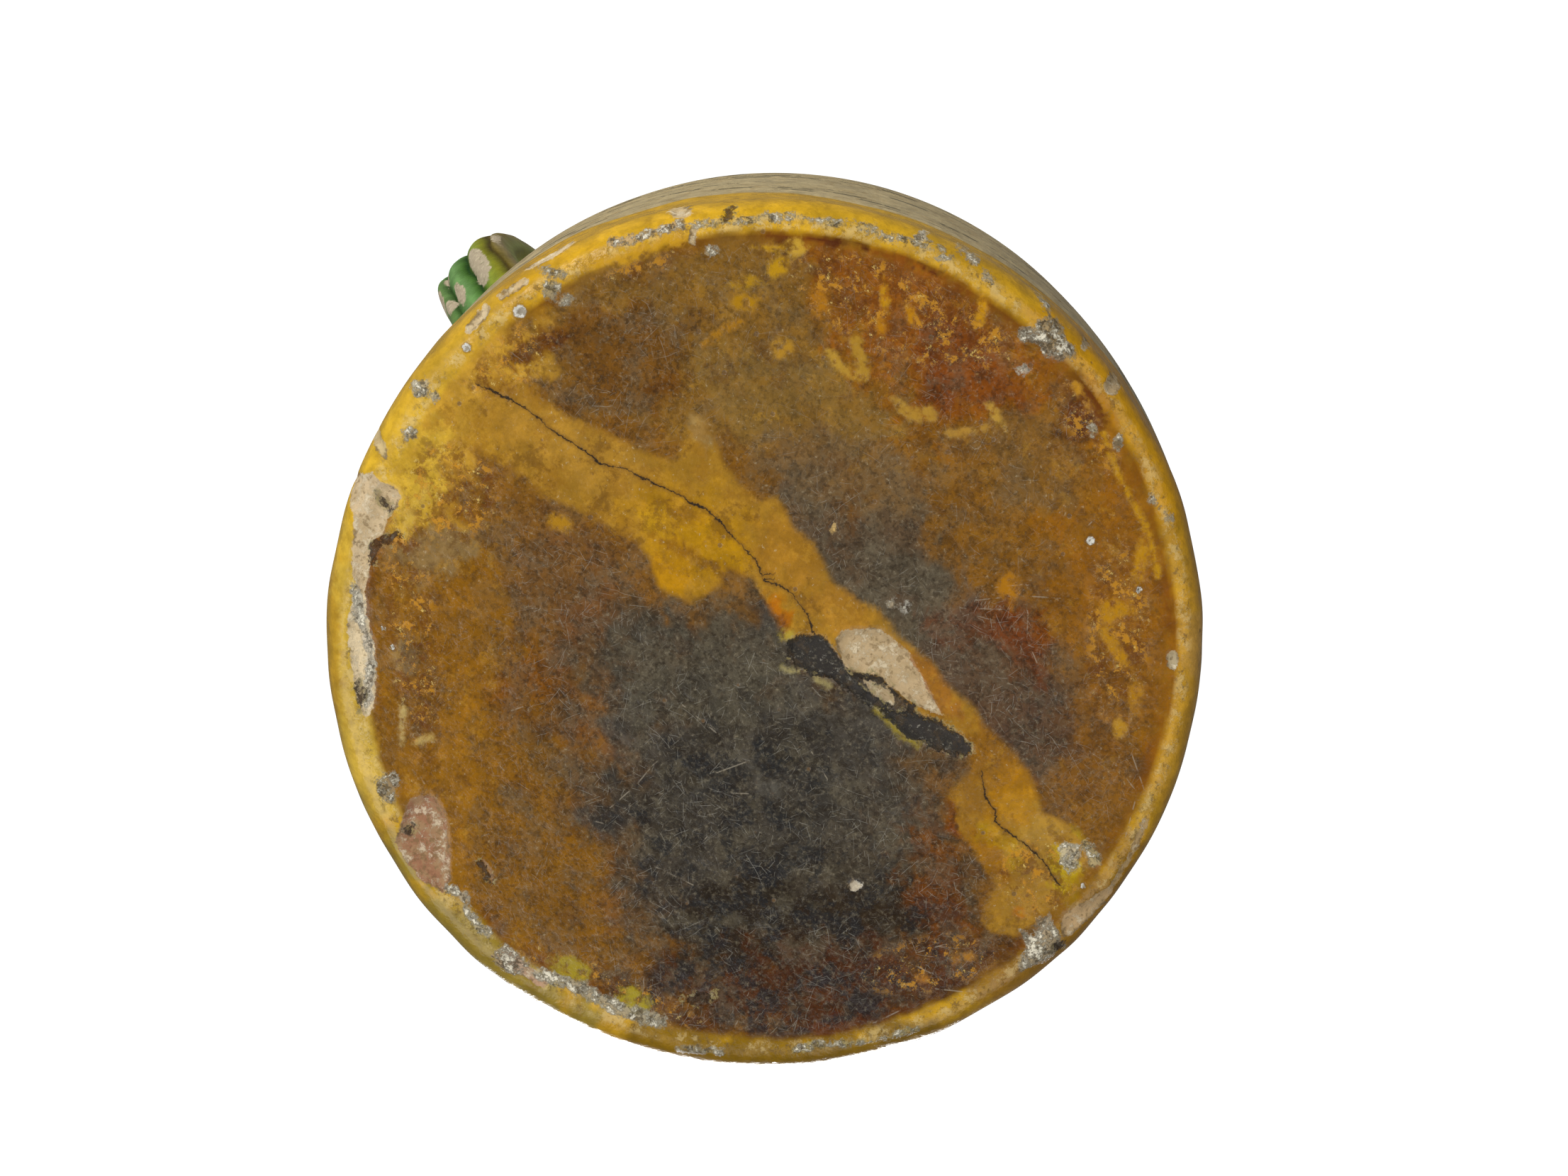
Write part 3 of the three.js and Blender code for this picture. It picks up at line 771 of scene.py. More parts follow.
def pull_lip(points):
    """Pulls the rim out into the pouring lip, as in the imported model."""
    rise = ease(points[:, 2], RIM_HEIGHT - LIP_DEPTH, RIM_HEIGHT)
    away = np.arctan2(points[:, 1], -points[:, 0]) / LIP_ANGLE
    pull = rise * np.exp(-away * away)
    points[:, 0] -= LIP_REACH * pull
    points[:, 2] += LIP_LIFT * pull


def outer_place(turn, share):
    low, high = WALL_ISLAND
    return (turn, low + high * share)


def inner_place(turn, share):
    left, wide, high = INSIDE_ISLAND
    return (left + wide * share, high * turn)


def build_body():
    """The body's mesh in millimetres, and how many of its points are base, foot and heel,
    and how many are outside altogether."""
    mesh = Mesh()
    outside = even_points(dense(outside_line()), FOOT_ROW)
    foot = outside[outside[:, 1] < FOOT_TOP]
    heel = outside[(outside[:, 1] >= foot[-1, 1]) & (outside[:, 1] < HEEL_TOP)][::2]
    wall = even_points(outside[outside[:, 1] >= heel[-1, 1]], WALL_ROW)
    spread = FOOT_RADIUS + FOOT_ROW * len(foot)
    ring = add_base(mesh, spread)
    ring = add_foot(mesh, ring, foot, spread)
    heel_share = FOOT_ROW * 2 * len(heel) / (FOOT_ROW * 2 * len(heel) + WALL_ROW * len(wall))
    ring = add_strip(mesh, ring, heel, 2 * BASE_CELLS, lambda t, s: outer_place(t, s * heel_share))
    near = mesh.total
    ring = add_strip(mesh, ring, wall, BASE_CELLS,
                     lambda t, s: outer_place(t, heel_share + s * (1 - heel_share)))
    outer = mesh.total
    inside = even_points(inside_line(), INSIDE_ROW)
    ring = add_strip(mesh, ring, inside, BASE_CELLS // 2, inner_place)
    middle = mesh.add_points([(0, 0, FLOOR)])
    for i in range(ring.count):
        mesh.add_face([ring.at(i), ring.at(i + 1), middle],
                      [ring.map[i], ring.map[i + 1], ring.map[i]])
    return mesh, near, outer


# ---- relief of the base and the wall ------------------------------------------------


def plan_of(points):
    """Where points lie on the plan of the base, seen from below."""
    bearing = HANDLE_BEARING - np.arctan2(points[:, 1], points[:, 0])
    radius = np.hypot(points[:, 0], points[:, 1])
    return np.stack([radius * np.cos(bearing), radius * np.sin(bearing)], 1)


def marks_depth(plan, marks):
    """Depth inside the nearest of some marks, and that mark's colour, at each place."""
    depth = np.full(len(plan), -FAR)
    colour = np.tile(linear(marks[0][2]), (len(plan), 1))
    for mark in marks:
        inside = depth_in_mark(plan, mark)
        colour[inside > depth] = linear(mark[2])
        depth = np.maximum(depth, inside)
    return depth, colour


def lines_gap(plan, lines):
    """Distance to the nearest of some lines, and the same with a sign for the side."""
    gap = np.full(len(plan), FAR)
    signed = np.full(len(plan), FAR)
    for line in lines:
        away, side = gap_to_line(plan, line)
        signed = np.where(away < gap, away * side, signed)
        gap = np.minimum(away, gap)
    return gap, signed


def outward(points):
    """The way out of the clay at points of the base and of the foot's rounded edge."""
    turn = np.sqrt(np.clip(points[:, 2] / HEEL_HEIGHT, 0, 1))
    on_edge = np.hypot(points[:, 0], points[:, 1]) > FOOT_RADIUS
    out = np.where(on_edge, turn * HEEL_HEIGHT, 0)
    down = (1 - turn) * (HEEL_RADIUS - FOOT_RADIUS)
    length = np.hypot(out, down)
    angle = np.arctan2(points[:, 1], points[:, 0])
    return np.stack([out * np.cos(angle), out * np.sin(angle), -down], 1) / length[:, None]


def wear_down(below, marks):
    """Moves the points of the base and foot in and out where it is chipped or crusted."""
    relief = 0.14 * cloud(below, 16, 1) + 0.07 * cloud(below, 5, 2)
    relief -= CHIP_DEPTH * ease(marks["bare"][0], -0.2, 0.9)
    relief += GRIT_HEIGHT * ease(marks["grit"][0], -0.2, 0.6) * (1 + 1.4 * cloud(below, 1.1, 3))
    relief -= TEAR_DEPTH * ease(marks["tear"][0], -0.2, 0.8) * (1 + 0.5 * cloud(below, 1.5, 4))
    rim = np.exp(-((marks["pit"] - 1) / 0.35) ** 2)
    relief += PIT_RIM * rim - PIT_DEPTH * fade(marks["pit"], 0.2, 0.8)
    edge = ease(np.hypot(below[:, 0], below[:, 1]), FOOT_RADIUS - 1, HEEL_RADIUS)
    relief += edge * 0.25 * cloud(below, 9, 5)
    below += relief[:, None] * outward(below)


def throw_wall(wall):
    """The throwing lines and the slight unevenness of a wall turned by hand."""
    radius = np.hypot(wall[:, 0], wall[:, 1])
    height = wall[:, 2] + 0.8 * cloud(wall, 40, 6)
    rise = ease(wall[:, 2], HEEL_HEIGHT, HEEL_TOP)
    swell = 0.16 * np.sin(height * math.tau / THROWING_RIDGE) + 0.25 * cloud(wall, 30, 7)
    wall[:, :2] *= (1 + rise * (swell - 0.2) / radius)[:, None]


# ---- painting the glaze -------------------------------------------------------------


def pour(colours, plan, pools):
    """Lays pools of colour with curdled edges over colours, one after the other."""
    for seed, (hex_colour, spot, soft, strength) in enumerate(pools):
        size = min(spot[2], spot[3])
        depth = depth_in_spot(plan, spot) / size
        near = np.flatnonzero(depth > -2 * soft)
        places = np.pad(plan[near], ((0, 0), (0, 1)))
        ragged = depth[near] + soft * curdle(places, min(0.6 * size, 7), seed + 1)
        share = strength * ease(ragged, -0.6 * soft, 0.6 * soft)
        colours[near] += share[:, None] * (np.array(linear(hex_colour)) - colours[near])
    return colours


def blend_in(colours, share, others):
    colours += share[:, None] * (np.array(others) - colours)


def paint_below(points, flat):
    """The glaze of the base and of the heel around it, flat being their places on the plan."""
    warp = np.zeros_like(flat)
    for size, reach, seeds in POOL_BENDS:
        warp += np.stack([cloud(points, size, seed) for seed in seeds], 1) * reach
    plan = flat + warp
    colours = np.tile(linear(GLAZE_GROUND), (len(points), 1))
    pour(colours, plan, GLAZE_POOLS)
    streak = np.tile(linear(STREAK_GROUND), (len(points), 1))
    pour(streak, flat + 0.4 * warp, STREAK_POOLS)
    blend_in(colours, ease(depth_in_area(flat + 0.2 * warp, STREAK), -0.7, 0.7), streak)
    heel = np.tile(linear(HEEL_GROUND), (len(points), 1))
    # The heel's pools carry painted light and shade, as listed with them.
    pour(heel, flat, HEEL_POOLS_AND_PAINTED_LIGHT)
    radius = np.hypot(*(flat - FOOT_MIDDLE).T) + 0.25 * warp[:, 0]
    rust = ease(radius, *RUST_START) * fade(radius, *HEEL_START)
    rust *= 0.55 * ease(cloud(points, 7, 24), -0.2, 0.2)
    blend_in(colours, rust, linear(HEEL_RUST))
    blend_in(colours, ease(radius, *HEEL_START), heel)
    return colours


def paint_wall(points):
    """Cream glaze over the wall, yellow at the heel and green where the handle joins."""
    colours = np.tile(linear(CREAM), (len(points), 1))
    tint = 0.5 + 0.5 * cloud(points, 22, 12)
    blend_in(colours, 0.5 * tint, linear(CREAM_SHADE))
    edge = GLAZE_EDGE + 1.6 * cloud(points, 14, 13) + 0.7 * cloud(points, 4, 14)
    heel = np.tile(linear(HEEL_GROUND), (len(points), 1))
    # The yellow band takes the heel's pools, with their painted light and shade.
    pour(heel, plan_of(points), HEEL_POOLS_AND_PAINTED_LIGHT)
    blend_in(colours, ease(edge - points[:, 2], -0.8, 0.8), heel)
    rim = points[:, 2] + 2.5 * cloud(points, 10, 15)
    blend_in(colours, 0.9 * ease(rim, RIM_HEIGHT - 7, RIM_HEIGHT - 2), linear(RIM_GREEN))
    for height in (STRAP_FOOT - 5, STRAP_TOP):
        away = np.linalg.norm(points - (outside_radius(height), 0, height), axis=1)
        stain = 0.9 * fade(away - 3 * cloud(points, 6, 16), 8, 16)
        blend_in(colours, stain, linear(JOINT_GREEN))
    return colours


def paint_inside(points):
    """Honey-yellow glaze inside, with brown where it pooled on the floor."""
    colours = np.tile(linear(HONEY), (len(points), 1))
    pool = fade(points[:, 2] - 3 * cloud(points, 14, 17), FLOOR, FLOOR + 8)
    blend_in(colours, 0.6 * pool, linear(HONEY_POOL))
    rim = ease(points[:, 2] + 2 * cloud(points, 9, 18), RIM_HEIGHT - 3, RIM_HEIGHT)
    blend_in(colours, 0.8 * rim, linear(RIM_GREEN))
    return colours


# ---- mesh data ----------------------------------------------------------------------


def set_number(mesh, name, values):
    attribute = mesh.attributes.new(name, "FLOAT", "POINT")
    attribute.data.foreach_set("value", np.asarray(values, np.float32))


def set_colour(mesh, name, colours):
    """Stores colours as they are under the gloss, which adds a little white to all."""
    attribute = mesh.attributes.new(name, "FLOAT_COLOR", "POINT")
    under = np.clip(colours - GLOSS_VEIL, 0.002, 1)
    full = np.concatenate([under, np.ones((len(colours), 1))], 1)
    attribute.data.foreach_set("color", full.astype(np.float32).ravel())


def make_object(name, built, points):
    """A smooth-shaded object from a built mesh, with its bake map."""
    mesh = bpy.data.meshes.new(name)
    mesh.from_pydata((points * MM).tolist(), [], built.faces)
    layer = mesh.uv_layers.new(name="OFBake")
    layer.uv.foreach_set("vector", np.array(built.map, np.float32).ravel())
    mesh.shade_smooth()
    made = bpy.data.objects.new(name, mesh)
    bpy.context.scene.collection.objects.link(made)
    return made


def for_all(values, total, otherwise):
    """Values known for the base and foot, filled out for the rest of the body."""
    shape = (total, *np.shape(values)[1:])
    full = np.full(shape, otherwise, float)
    full[:len(values)] = values
    return full


def read_marks(points):
    """Measures every mark at the points of the base and foot, for relief and finish."""
    plan = plan_of(points)
    marks = {"plan": plan}
    clear = 3 * ease(points[:, 2], *MARKS_END)
    for name, listed in (("bare", CHIPS), ("grit", GRIT), ("tear", TEARS), ("splash", SPLASHES)):
        depth, colour = marks_depth(plan, listed)
        marks[name] = (depth - clear, colour)
    marks["crack"] = lines_gap(plan, CRACK_LINES)
    marks["scratch"] = lines_gap(plan, SCRATCH_LINES)
    marks["drips"] = np.max([depth_in_spot(plan, zone) for zone in DRIP_ZONES], 0)
    pits = [np.hypot(plan[:, 0] - u, plan[:, 1] - v) / radius for u, v, radius in PITS]
    marks["pit"] = np.min(pits, 0)
    return marks


def store_marks(mesh, marks, total):
    """Keeps the marks on the mesh, where the glaze reads them."""
    for name in ("bare", "grit", "tear", "splash"):
        depth, colour = marks[name]
        set_number(mesh, name, for_all(depth, total, -FAR))
        set_colour(mesh, name + "_colour", for_all(colour, total, 0.5))
    for name in ("crack", "scratch"):
        gap, side = marks[name]
        set_number(mesh, name + "_gap", for_all(gap, total, FAR))
        set_number(mesh, name + "_side", for_all(side, total, FAR))
    set_number(mesh, "pit", for_all(marks["pit"], total, FAR))


def store_zones(mesh, marks, below, total):
    """Keeps where the base is flat, worn, sooty, run with drips and scuffed by standing, the last
    partly a painted highlight.
    """
    flat = fade(np.hypot(*marks["plan"].T), *FLAT_END)
    light = below @ LIGHTNESS
    out = np.hypot(*(marks["plan"] - FOOT_MIDDLE).T)
    zones = {
        "flat": flat,
        "worn": flat * fade(light, *WORN_LIGHT),
        "soot": flat * fade(light, *SOOT_LIGHT),
        "drips": flat * ease(marks["drips"], -1, 1.5),
        "ring": ease(out, *RING_START) * fade(out, *RING_END),
    }
    for name, share in zones.items():
        set_number(mesh, name, for_all(share, total, 0))


def make_body():
    built, foot, outer = build_body()
    points = np.concatenate(built.points)
    marks = read_marks(points[:foot])
    below = paint_below(points[:foot], marks["plan"])
    wall = paint_wall(points[:outer])
    blend_in(below, ease(points[:foot, 2], HEEL_HEIGHT, HEEL_HEIGHT + 4), wall[:foot])
    colours = np.concatenate([below, wall[foot:], paint_inside(points[outer:])])
    wear_down(points[:foot], marks)
    throw_wall(points[(BASE_CELLS + 1) ** 2:outer])
    pull_lip(points)
    body = make_object("jug_body", built, points)
    total = len(points)
    set_colour(body.data, "glaze", colours)
    store_marks(body.data, marks, total)
    store_zones(body.data, marks, below, total)
    on_wall = ease(points[:outer, 2], GLAZE_EDGE + 2, GLAZE_EDGE + 5)
    on_wall *= fade(points[:outer, 2], *DASHES_END)
    set_number(body.data, "wall", for_all(on_wall, total, 0))
    return body


# ---- materials ----------------------------------------------------------------------


def node(tree, kind, inputs, **settings):
    """Adds a node with its settings, and gives its inputs their links and values."""
    made = tree.nodes.new(kind)
    for name, value in settings.items():
        setattr(made, name, value)
    for name, value in inputs.items():
        if isinstance(value, bpy.types.NodeSocket):
            tree.links.new(value, made.inputs[name])
        else:
            made.inputs[name].default_value = value
    return made.outputs


class Glaze:
    """A fired glaze as it is built up: its colour, roughness and height in millimetres."""

    def __init__(self, name, roughness, stored):
        self.material = bpy.data.materials.new(name)
        self.material.use_nodes = True
        self.tree = self.material.node_tree
        self.tree.nodes.clear()
        self.where = node(self.tree, "ShaderNodeTexCoord", {})["Object"]
        self.place = node(self.tree, "ShaderNodeVectorMath", {0: self.where, 1: GRAIN_START},
                          operation="ADD")[0]
        self.stored = {}
        for kept in stored:
            self.stored[kept] = node(self.tree, "ShaderNodeAttribute", {}, attribute_name=kept)
        self.colour = self.stored["glaze"]["Color"]
        self.roughness = roughness
        self.height = 0.0

    def amount(self, name):
        return self.stored[name]["Fac"]

    def patches(self, size, low, high, detail=4.0, rough=0.6):
        """Ragged patches about size millimetres wide, where noise rises from low to high."""
        inputs = {"Vector": self.place, "Scale": 1 / (size * MM), "Detail": detail,
                  "Roughness": rough}
        lumps = node(self.tree, "ShaderNodeTexNoise", inputs)["Fac"]
        inputs = {"Value": lumps, "From Min": low, "From Max": high}
        return node(self.tree, "ShaderNodeMapRange", inputs, interpolation_type="SMOOTHSTEP")[0]

    def wavering(self, value, size, reach, detail=5.0, rough=0.7):
        """A value moved up and down by lumps of that size, both in millimetres."""
        inputs = {"Vector": self.place, "Scale": 1 / (size * MM), "Detail": detail,
                  "Roughness": rough}
        lumps = node(self.tree, "ShaderNodeTexNoise", inputs)["Fac"]
        centred = node(self.tree, "ShaderNodeMath", {0: lumps, 1: 0.5}, operation="SUBTRACT")[0]
        inputs = {0: centred, 1: 2 * reach, 2: value}
        return node(self.tree, "ShaderNodeMath", inputs, operation="MULTIPLY_ADD")[0]

    def overlap(self, *masks):
        """Where all the masks are. One written (value, low, high) rises from 0 to 1 there."""
        share = 1.0
        for mask in masks:
            if isinstance(mask, tuple):
                inputs = dict(zip(("Value", "From Min", "From Max"), mask))
                mask = node(self.tree, "ShaderNodeMapRange", inputs,
                            interpolation_type="SMOOTHSTEP")[0]
            inputs = {0: share, 1: mask}
            share = node(self.tree, "ShaderNodeMath", inputs, operation="MULTIPLY")[0]
        return share

    def lay(self, share, colour=None, roughness=None, height=None):
        """Lays another finish over this one where share is 1."""
        if colour is not None:
            inputs = {"Factor": share, 6: self.colour, 7: colour}
            self.colour = node(self.tree, "ShaderNodeMix", inputs, data_type="RGBA")[2]
        if roughness is not None:
            inputs = {"Factor": share, 2: self.roughness, 3: roughness}
            self.roughness = node(self.tree, "ShaderNodeMix", inputs, data_type="FLOAT")[0]
        if height is not None:
            inputs = {0: share, 1: height, 2: self.height}
            self.height = node(self.tree, "ShaderNodeMath", inputs, operation="MULTIPLY_ADD")[0]

    def shade(self, share, low, high):
        """Multiplies the colour by low where share is 0 and by high where it is 1."""
        inputs = {"Value": share, "To Min": low, "To Max": high}
        scale = node(self.tree, "ShaderNodeMapRange", inputs, clamp=False)[0]
        inputs = {"Vector": self.colour, "Scale": scale}
        self.colour = node(self.tree, "ShaderNodeVectorMath", inputs, operation="SCALE")[0]

    def fire(self):
        """Joins it all into the surface, and gives back the material."""
        bump = node(self.tree, "ShaderNodeBump",
                    {"Height": self.height, "Distance": MM, "Strength": 1.0})["Normal"]
        surface = node(self.tree, "ShaderNodeBsdfPrincipled",
                       {"Base Color": self.colour, "Roughness": self.roughness,
                        "IOR": LEAD_GLAZE_IOR, "Normal": bump})["BSDF"]
        node(self.tree, "ShaderNodeOutputMaterial", {"Surface": surface})
        return self.material


def hairlines(glaze, cell, width, half_length, seed):
    """Short hairlines in random directions, about one in each cell (millimetres)."""
    tree = glaze.tree
    lump, reach = HAIR_BEND
    inputs = {"Vector": glaze.place, "Scale": 1 / (lump * MM)}
    bend = node(tree, "ShaderNodeTexNoise", inputs)["Color"]
    bent = node(tree, "ShaderNodeVectorMath",
                {0: bend, 1: (reach * MM,) * 3, 2: glaze.place}, operation="MULTIPLY_ADD")[0]
    start = (13 * seed * MM, 7 * seed * MM, 0.0)
    bent = node(tree, "ShaderNodeVectorMath", {0: bent, 1: start}, operation="ADD")[0]
    cells = node(tree, "ShaderNodeTexVoronoi", {"Vector": bent, "Scale": 1 / (cell * MM)},
                 voronoi_dimensions="2D")
    away = node(tree, "ShaderNodeVectorMath", {0: bent, 1: cells["Position"]},
                operation="SUBTRACT")[0]
    chance = node(tree, "ShaderNodeSeparateColor", {"Color": cells["Color"]})
    angle = node(tree, "ShaderNodeMath", {0: chance[0], 1: math.tau}, operation="MULTIPLY")[0]
    turned = node(tree, "ShaderNodeVectorRotate", {"Vector": away, "Angle": angle},
                  rotation_type="Z_AXIS")[0]
    size = node(tree, "ShaderNodeVectorMath", {0: turned}, operation="ABSOLUTE")[0]
    axes = node(tree, "ShaderNodeSeparateXYZ", {"Vector": size})
    return glaze.overlap((axes[1], width * MM, 0.3 * width * MM),
                         (axes[0], half_length * MM, 0.5 * half_length * MM),
                         (chance[1], 0.2, 1.0))


def mottle(glaze):
    """Brown, amber and soot in clouds and curdled flecks, as iron and smoke leave them."""
    flat = glaze.amount("flat")
    worn = glaze.amount("worn")
    soot = glaze.amount("soot")
    glaze.shade(glaze.patches(7.0, 0.35, 0.65), 0.9, 1.08)
    glaze.shade(glaze.patches(2.6, 0.34, 0.66, 6.0, 0.7), 0.84, 1.15)
    amber = glaze.overlap(glaze.patches(4.3, 0.5, 0.6, 5.0, 0.7), flat, (worn, 0.9, 0.2), 0.45)
    glaze.lay(amber, rgba("#845A12"))
    rust = glaze.overlap(glaze.patches(5.1, 0.54, 0.62, 6.0, 0.72), flat, (soot, 0.6, 0.1), 0.45)
    glaze.lay(rust, rgba("#55340F"))
    gold = glaze.overlap(glaze.patches(3.7, 0.55, 0.62, 6.0, 0.75), flat, (worn, 0.8, 0.3), 0.3)
    glaze.lay(gold, rgba("#B98A2C"))
    grey = glaze.overlap(glaze.patches(5.6, 0.48, 0.6, 6.0, 0.72), worn, 0.4)
    glaze.lay(grey, rgba("#5E5644"))
    smoke = glaze.overlap(glaze.patches(4.6, 0.47, 0.57, 6.0, 0.74), soot, 0.8)
    glaze.lay(smoke, rgba("#1C1D1F"))
    fleck = glaze.overlap(glaze.patches(1.7, 0.5, 0.4, 6.0, 0.75), worn, 0.5)
    glaze.lay(fleck, rgba("#1F170E"))
    heel = glaze.overlap(glaze.patches(3.0, 0.5, 0.62, 6.0, 0.75), (flat, 0.9, 0.1), 0.3)
    glaze.lay(heel, rgba("#8A661A"))


def dust(glaze):
    """The felted look of worn glaze: pale and dark grains, drawn coarser than the real
    ones, about a tenth of a millimetre, so that they show; and pale specks on the
    unworn glaze that are painted glints."""
    flat = glaze.amount("flat")
    worn = glaze.amount("worn")
    pale = glaze.overlap(glaze.patches(0.6, 0.5, 0.7, 3.0, 0.7), (worn, -0.4, 1.0), flat, 0.22)
    glaze.lay(pale, rgba("#938870"), 0.45)
    dark = glaze.overlap(glaze.patches(0.8, 0.5, 0.36, 3.0, 0.7), (worn, -0.4, 1.0), flat, 0.45)
    glaze.lay(dark, rgba("#22180C"))
    # Pale specks on the unworn glaze are painted glints.
    painted_glints = glaze.overlap(glaze.patches(0.6, 0.67, 0.76, 2.0, 0.6), flat, (worn, 1.3, -0.2), 0.45)
    glaze.lay(painted_glints, rgba("#B8A67C"), 0.4, 0.03)


def standing_ring(glaze):
    """The edge that the jug stands on, scuffed pale and gritty all round; the pale scuff is partly a
    painted highlight along this ridge.
    """
    # Pale scuff along the ridge, partly a painted highlight.
    ring = glaze.overlap(glaze.amount("ring"), glaze.patches(2.8, 0.5, 0.58, 6.0, 0.78), 0.45)
    glaze.lay(ring, rgba("#CDB57A"), 0.6, 0.08)
    dirt = glaze.overlap(glaze.amount("ring"), glaze.patches(1.3, 0.45, 0.36, 6.0, 0.78), 0.6)
    glaze.lay(dirt, rgba("#5F4418"), 0.5, -0.05)


def scratch(glaze):
    """Fine pale scratches from years of standing and sliding, thickest on the soot."""
    worn = glaze.amount("worn")
    busy = glaze.patches(8.0, 0.38, 0.6)
    for cell, width, half_length, seed in HAIRLINES:
        line = glaze.overlap(hairlines(glaze, cell, width, half_length, seed), worn, busy, 0.3)
        glaze.lay(line, rgba("#9F9B8E"), 0.5)
    side = node(glaze.tree, "ShaderNodeMath", {0: glaze.amount("scratch_side")},
                operation="ABSOLUTE")[0]
    line = glaze.overlap((side, 0.14, 0.03), (glaze.amount("scratch_gap"), 0.6, 0.3),
                         glaze.patches(1.6, 0.46, 0.6), 0.45)
    glaze.lay(line, rgba("#9C917C"), 0.5, -0.02)


def drips(glaze):
    """Amber and gold runs curdled with rust brown, where the glaze pooled and boiled."""
    zone = glaze.amount("drips")
    rust = glaze.overlap(glaze.patches(3.1, 0.5, 0.58, 6.0, 0.78), zone, 0.6)
    glaze.lay(rust, rgba("#5C3008"))
    gold = glaze.overlap(glaze.patches(2.3, 0.53, 0.59, 6.0, 0.8), zone, 0.75)
    glaze.lay(gold, rgba("#BA8220"), 0.2, 0.06)
    cream = glaze.overlap(glaze.patches(1.4, 0.6, 0.66, 5.0, 0.8), zone, 0.8)
    glaze.lay(cream, rgba("#D8B65E"), 0.3, 0.05)


def splash(glaze):
    """Drips of yellow glaze that fell on the base and ran into the brown."""
    edge = glaze.wavering(glaze.amount("splash"), 1.5, 1.1)
    drops = glaze.overlap((edge, -0.5, 0.5), glaze.patches(1.4, 0.3, 0.55), 0.85)
    glaze.lay(drops, glaze.stored["splash_colour"]["Color"], 0.2, 0.05)


def chip(glaze):
    """Buff clay where the glaze flew off, sandy and dirty."""
    edge = glaze.wavering(glaze.amount("bare"), 1.2, 0.8)
    bare = glaze.overlap((edge, -0.1, 0.12))
    glaze.lay(bare, glaze.stored["bare_colour"]["Color"], 0.9)
    glaze.lay(glaze.overlap(glaze.patches(2.6, 0.44, 0.58, 6.0, 0.75), bare, 0.5), rgba("#9A835C"))
    pale = glaze.overlap(glaze.patches(1.8, 0.5, 0.6, 6.0, 0.8), bare, 0.55)
    glaze.lay(pale, rgba("#D6C9AC"), height=0.08)
    glaze.lay(glaze.overlap(glaze.patches(0.9, 0.45, 0.34), bare, 0.6), rgba("#6E5A38"), height=-0.05)
    broken = glaze.overlap((edge, 0.4, 0.1), (edge, -0.2, 0.0), glaze.patches(3.4, 0.5, 0.62), 0.7)
    glaze.lay(broken, rgba("#5A4522"))


def crust(glaze):
    """Lime and kiln sand fused to the glaze, whitish with brown pores."""
    edge = glaze.wavering(glaze.amount("grit"), 2.0, 1.9, 6.0, 0.75)
    grit = glaze.overlap((edge, -0.2, 0.4))
    glaze.lay(glaze.overlap(grit, 0.75), glaze.stored["grit_colour"]["Color"], 0.6)
    white = glaze.overlap(glaze.patches(1.5, 0.46, 0.56, 6.0, 0.8), grit, 0.9)
    glaze.lay(white, rgba("#DDD5BE"), height=0.2)
    pores = glaze.overlap(glaze.patches(1.3, 0.48, 0.4, 6.0, 0.8), grit, 0.75)
    glaze.lay(pores, rgba("#55421F"), height=-0.15)


def tear(glaze):
    """The gash left black with soot, with curls of ash and glaze along it."""
    edge = glaze.wavering(glaze.amount("tear"), 1.8, 2.4, 6.0, 0.8)
    gash = glaze.overlap((edge, -0.15, 0.25))
    glaze.lay(glaze.overlap(gash, 0.96), glaze.stored["tear_colour"]["Color"], 0.6, -0.15)
    ash = glaze.overlap(glaze.patches(1.1, 0.52, 0.62, 6.0, 0.8), gash, 0.6)
    glaze.lay(ash, rgba("#6A6354"), 0.7, 0.12)
    # Pale flecks in the gash: partly grey ash, partly painted glints.
    pale = glaze.overlap(glaze.patches(0.8, 0.56, 0.64, 6.0, 0.85), gash, 0.7)
    glaze.lay(pale, rgba("#A9A496"), 0.8, 0.08)
    brown = glaze.overlap(glaze.patches(2.4, 0.5, 0.6, 5.0, 0.75), gash, 0.45)
    glaze.lay(brown, rgba("#4E3A1C"))
    rim = glaze.overlap((edge, -0.6, -0.3), (edge, 0.1, -0.15), glaze.patches(1.9, 0.5, 0.58), 0.75)
    glaze.lay(rim, rgba("#8E8052"))


def crack(glaze):
    """The firing crack, a jagged dark line whose width wanders, stained beside it."""
    moved = glaze.wavering(glaze.amount("crack_side"), 1.1, 0.75, 6.0, 0.75)
    size = node(glaze.tree, "ShaderNodeMath", {0: moved}, operation="ABSOLUTE")[0]
    width = glaze.wavering(size, 2.6, 0.22, 3.0)
    near = glaze.overlap((glaze.amount("crack_gap"), 0.8, 0.6))
    glaze.lay(glaze.overlap((size, 0.7, 0.1), near, 0.45), rgba("#6B4A1C"))
    glaze.lay(glaze.overlap((width, 0.14, 0.0), near, 0.95), rgba("#160F08"), 0.9, -0.12)


def burst_bubbles(glaze):
    """A brown stain and a grey pool round the pits where large bubbles burst, and a pale rim painted
    as a silvery highlight.
    """
    gap = glaze.wavering(glaze.amount("pit"), 1.1, 0.5, 4.0)
    stain = glaze.overlap((gap, 1.6, 1.0), 0.6)
    glaze.lay(stain, rgba("#6E5124"))
    pool = glaze.overlap((gap, 1.15, 0.95), 0.9)
    glaze.lay(pool, rgba("#8D8778"), 0.3)
    # A pale painted highlight round the rim of each pit.
    rim = glaze.overlap(pool, (gap, 0.35, 0.6), glaze.patches(0.7, 0.42, 0.52), 0.85)
    glaze.lay(rim, rgba("#D5D2C8"), 0.2, 0.05)


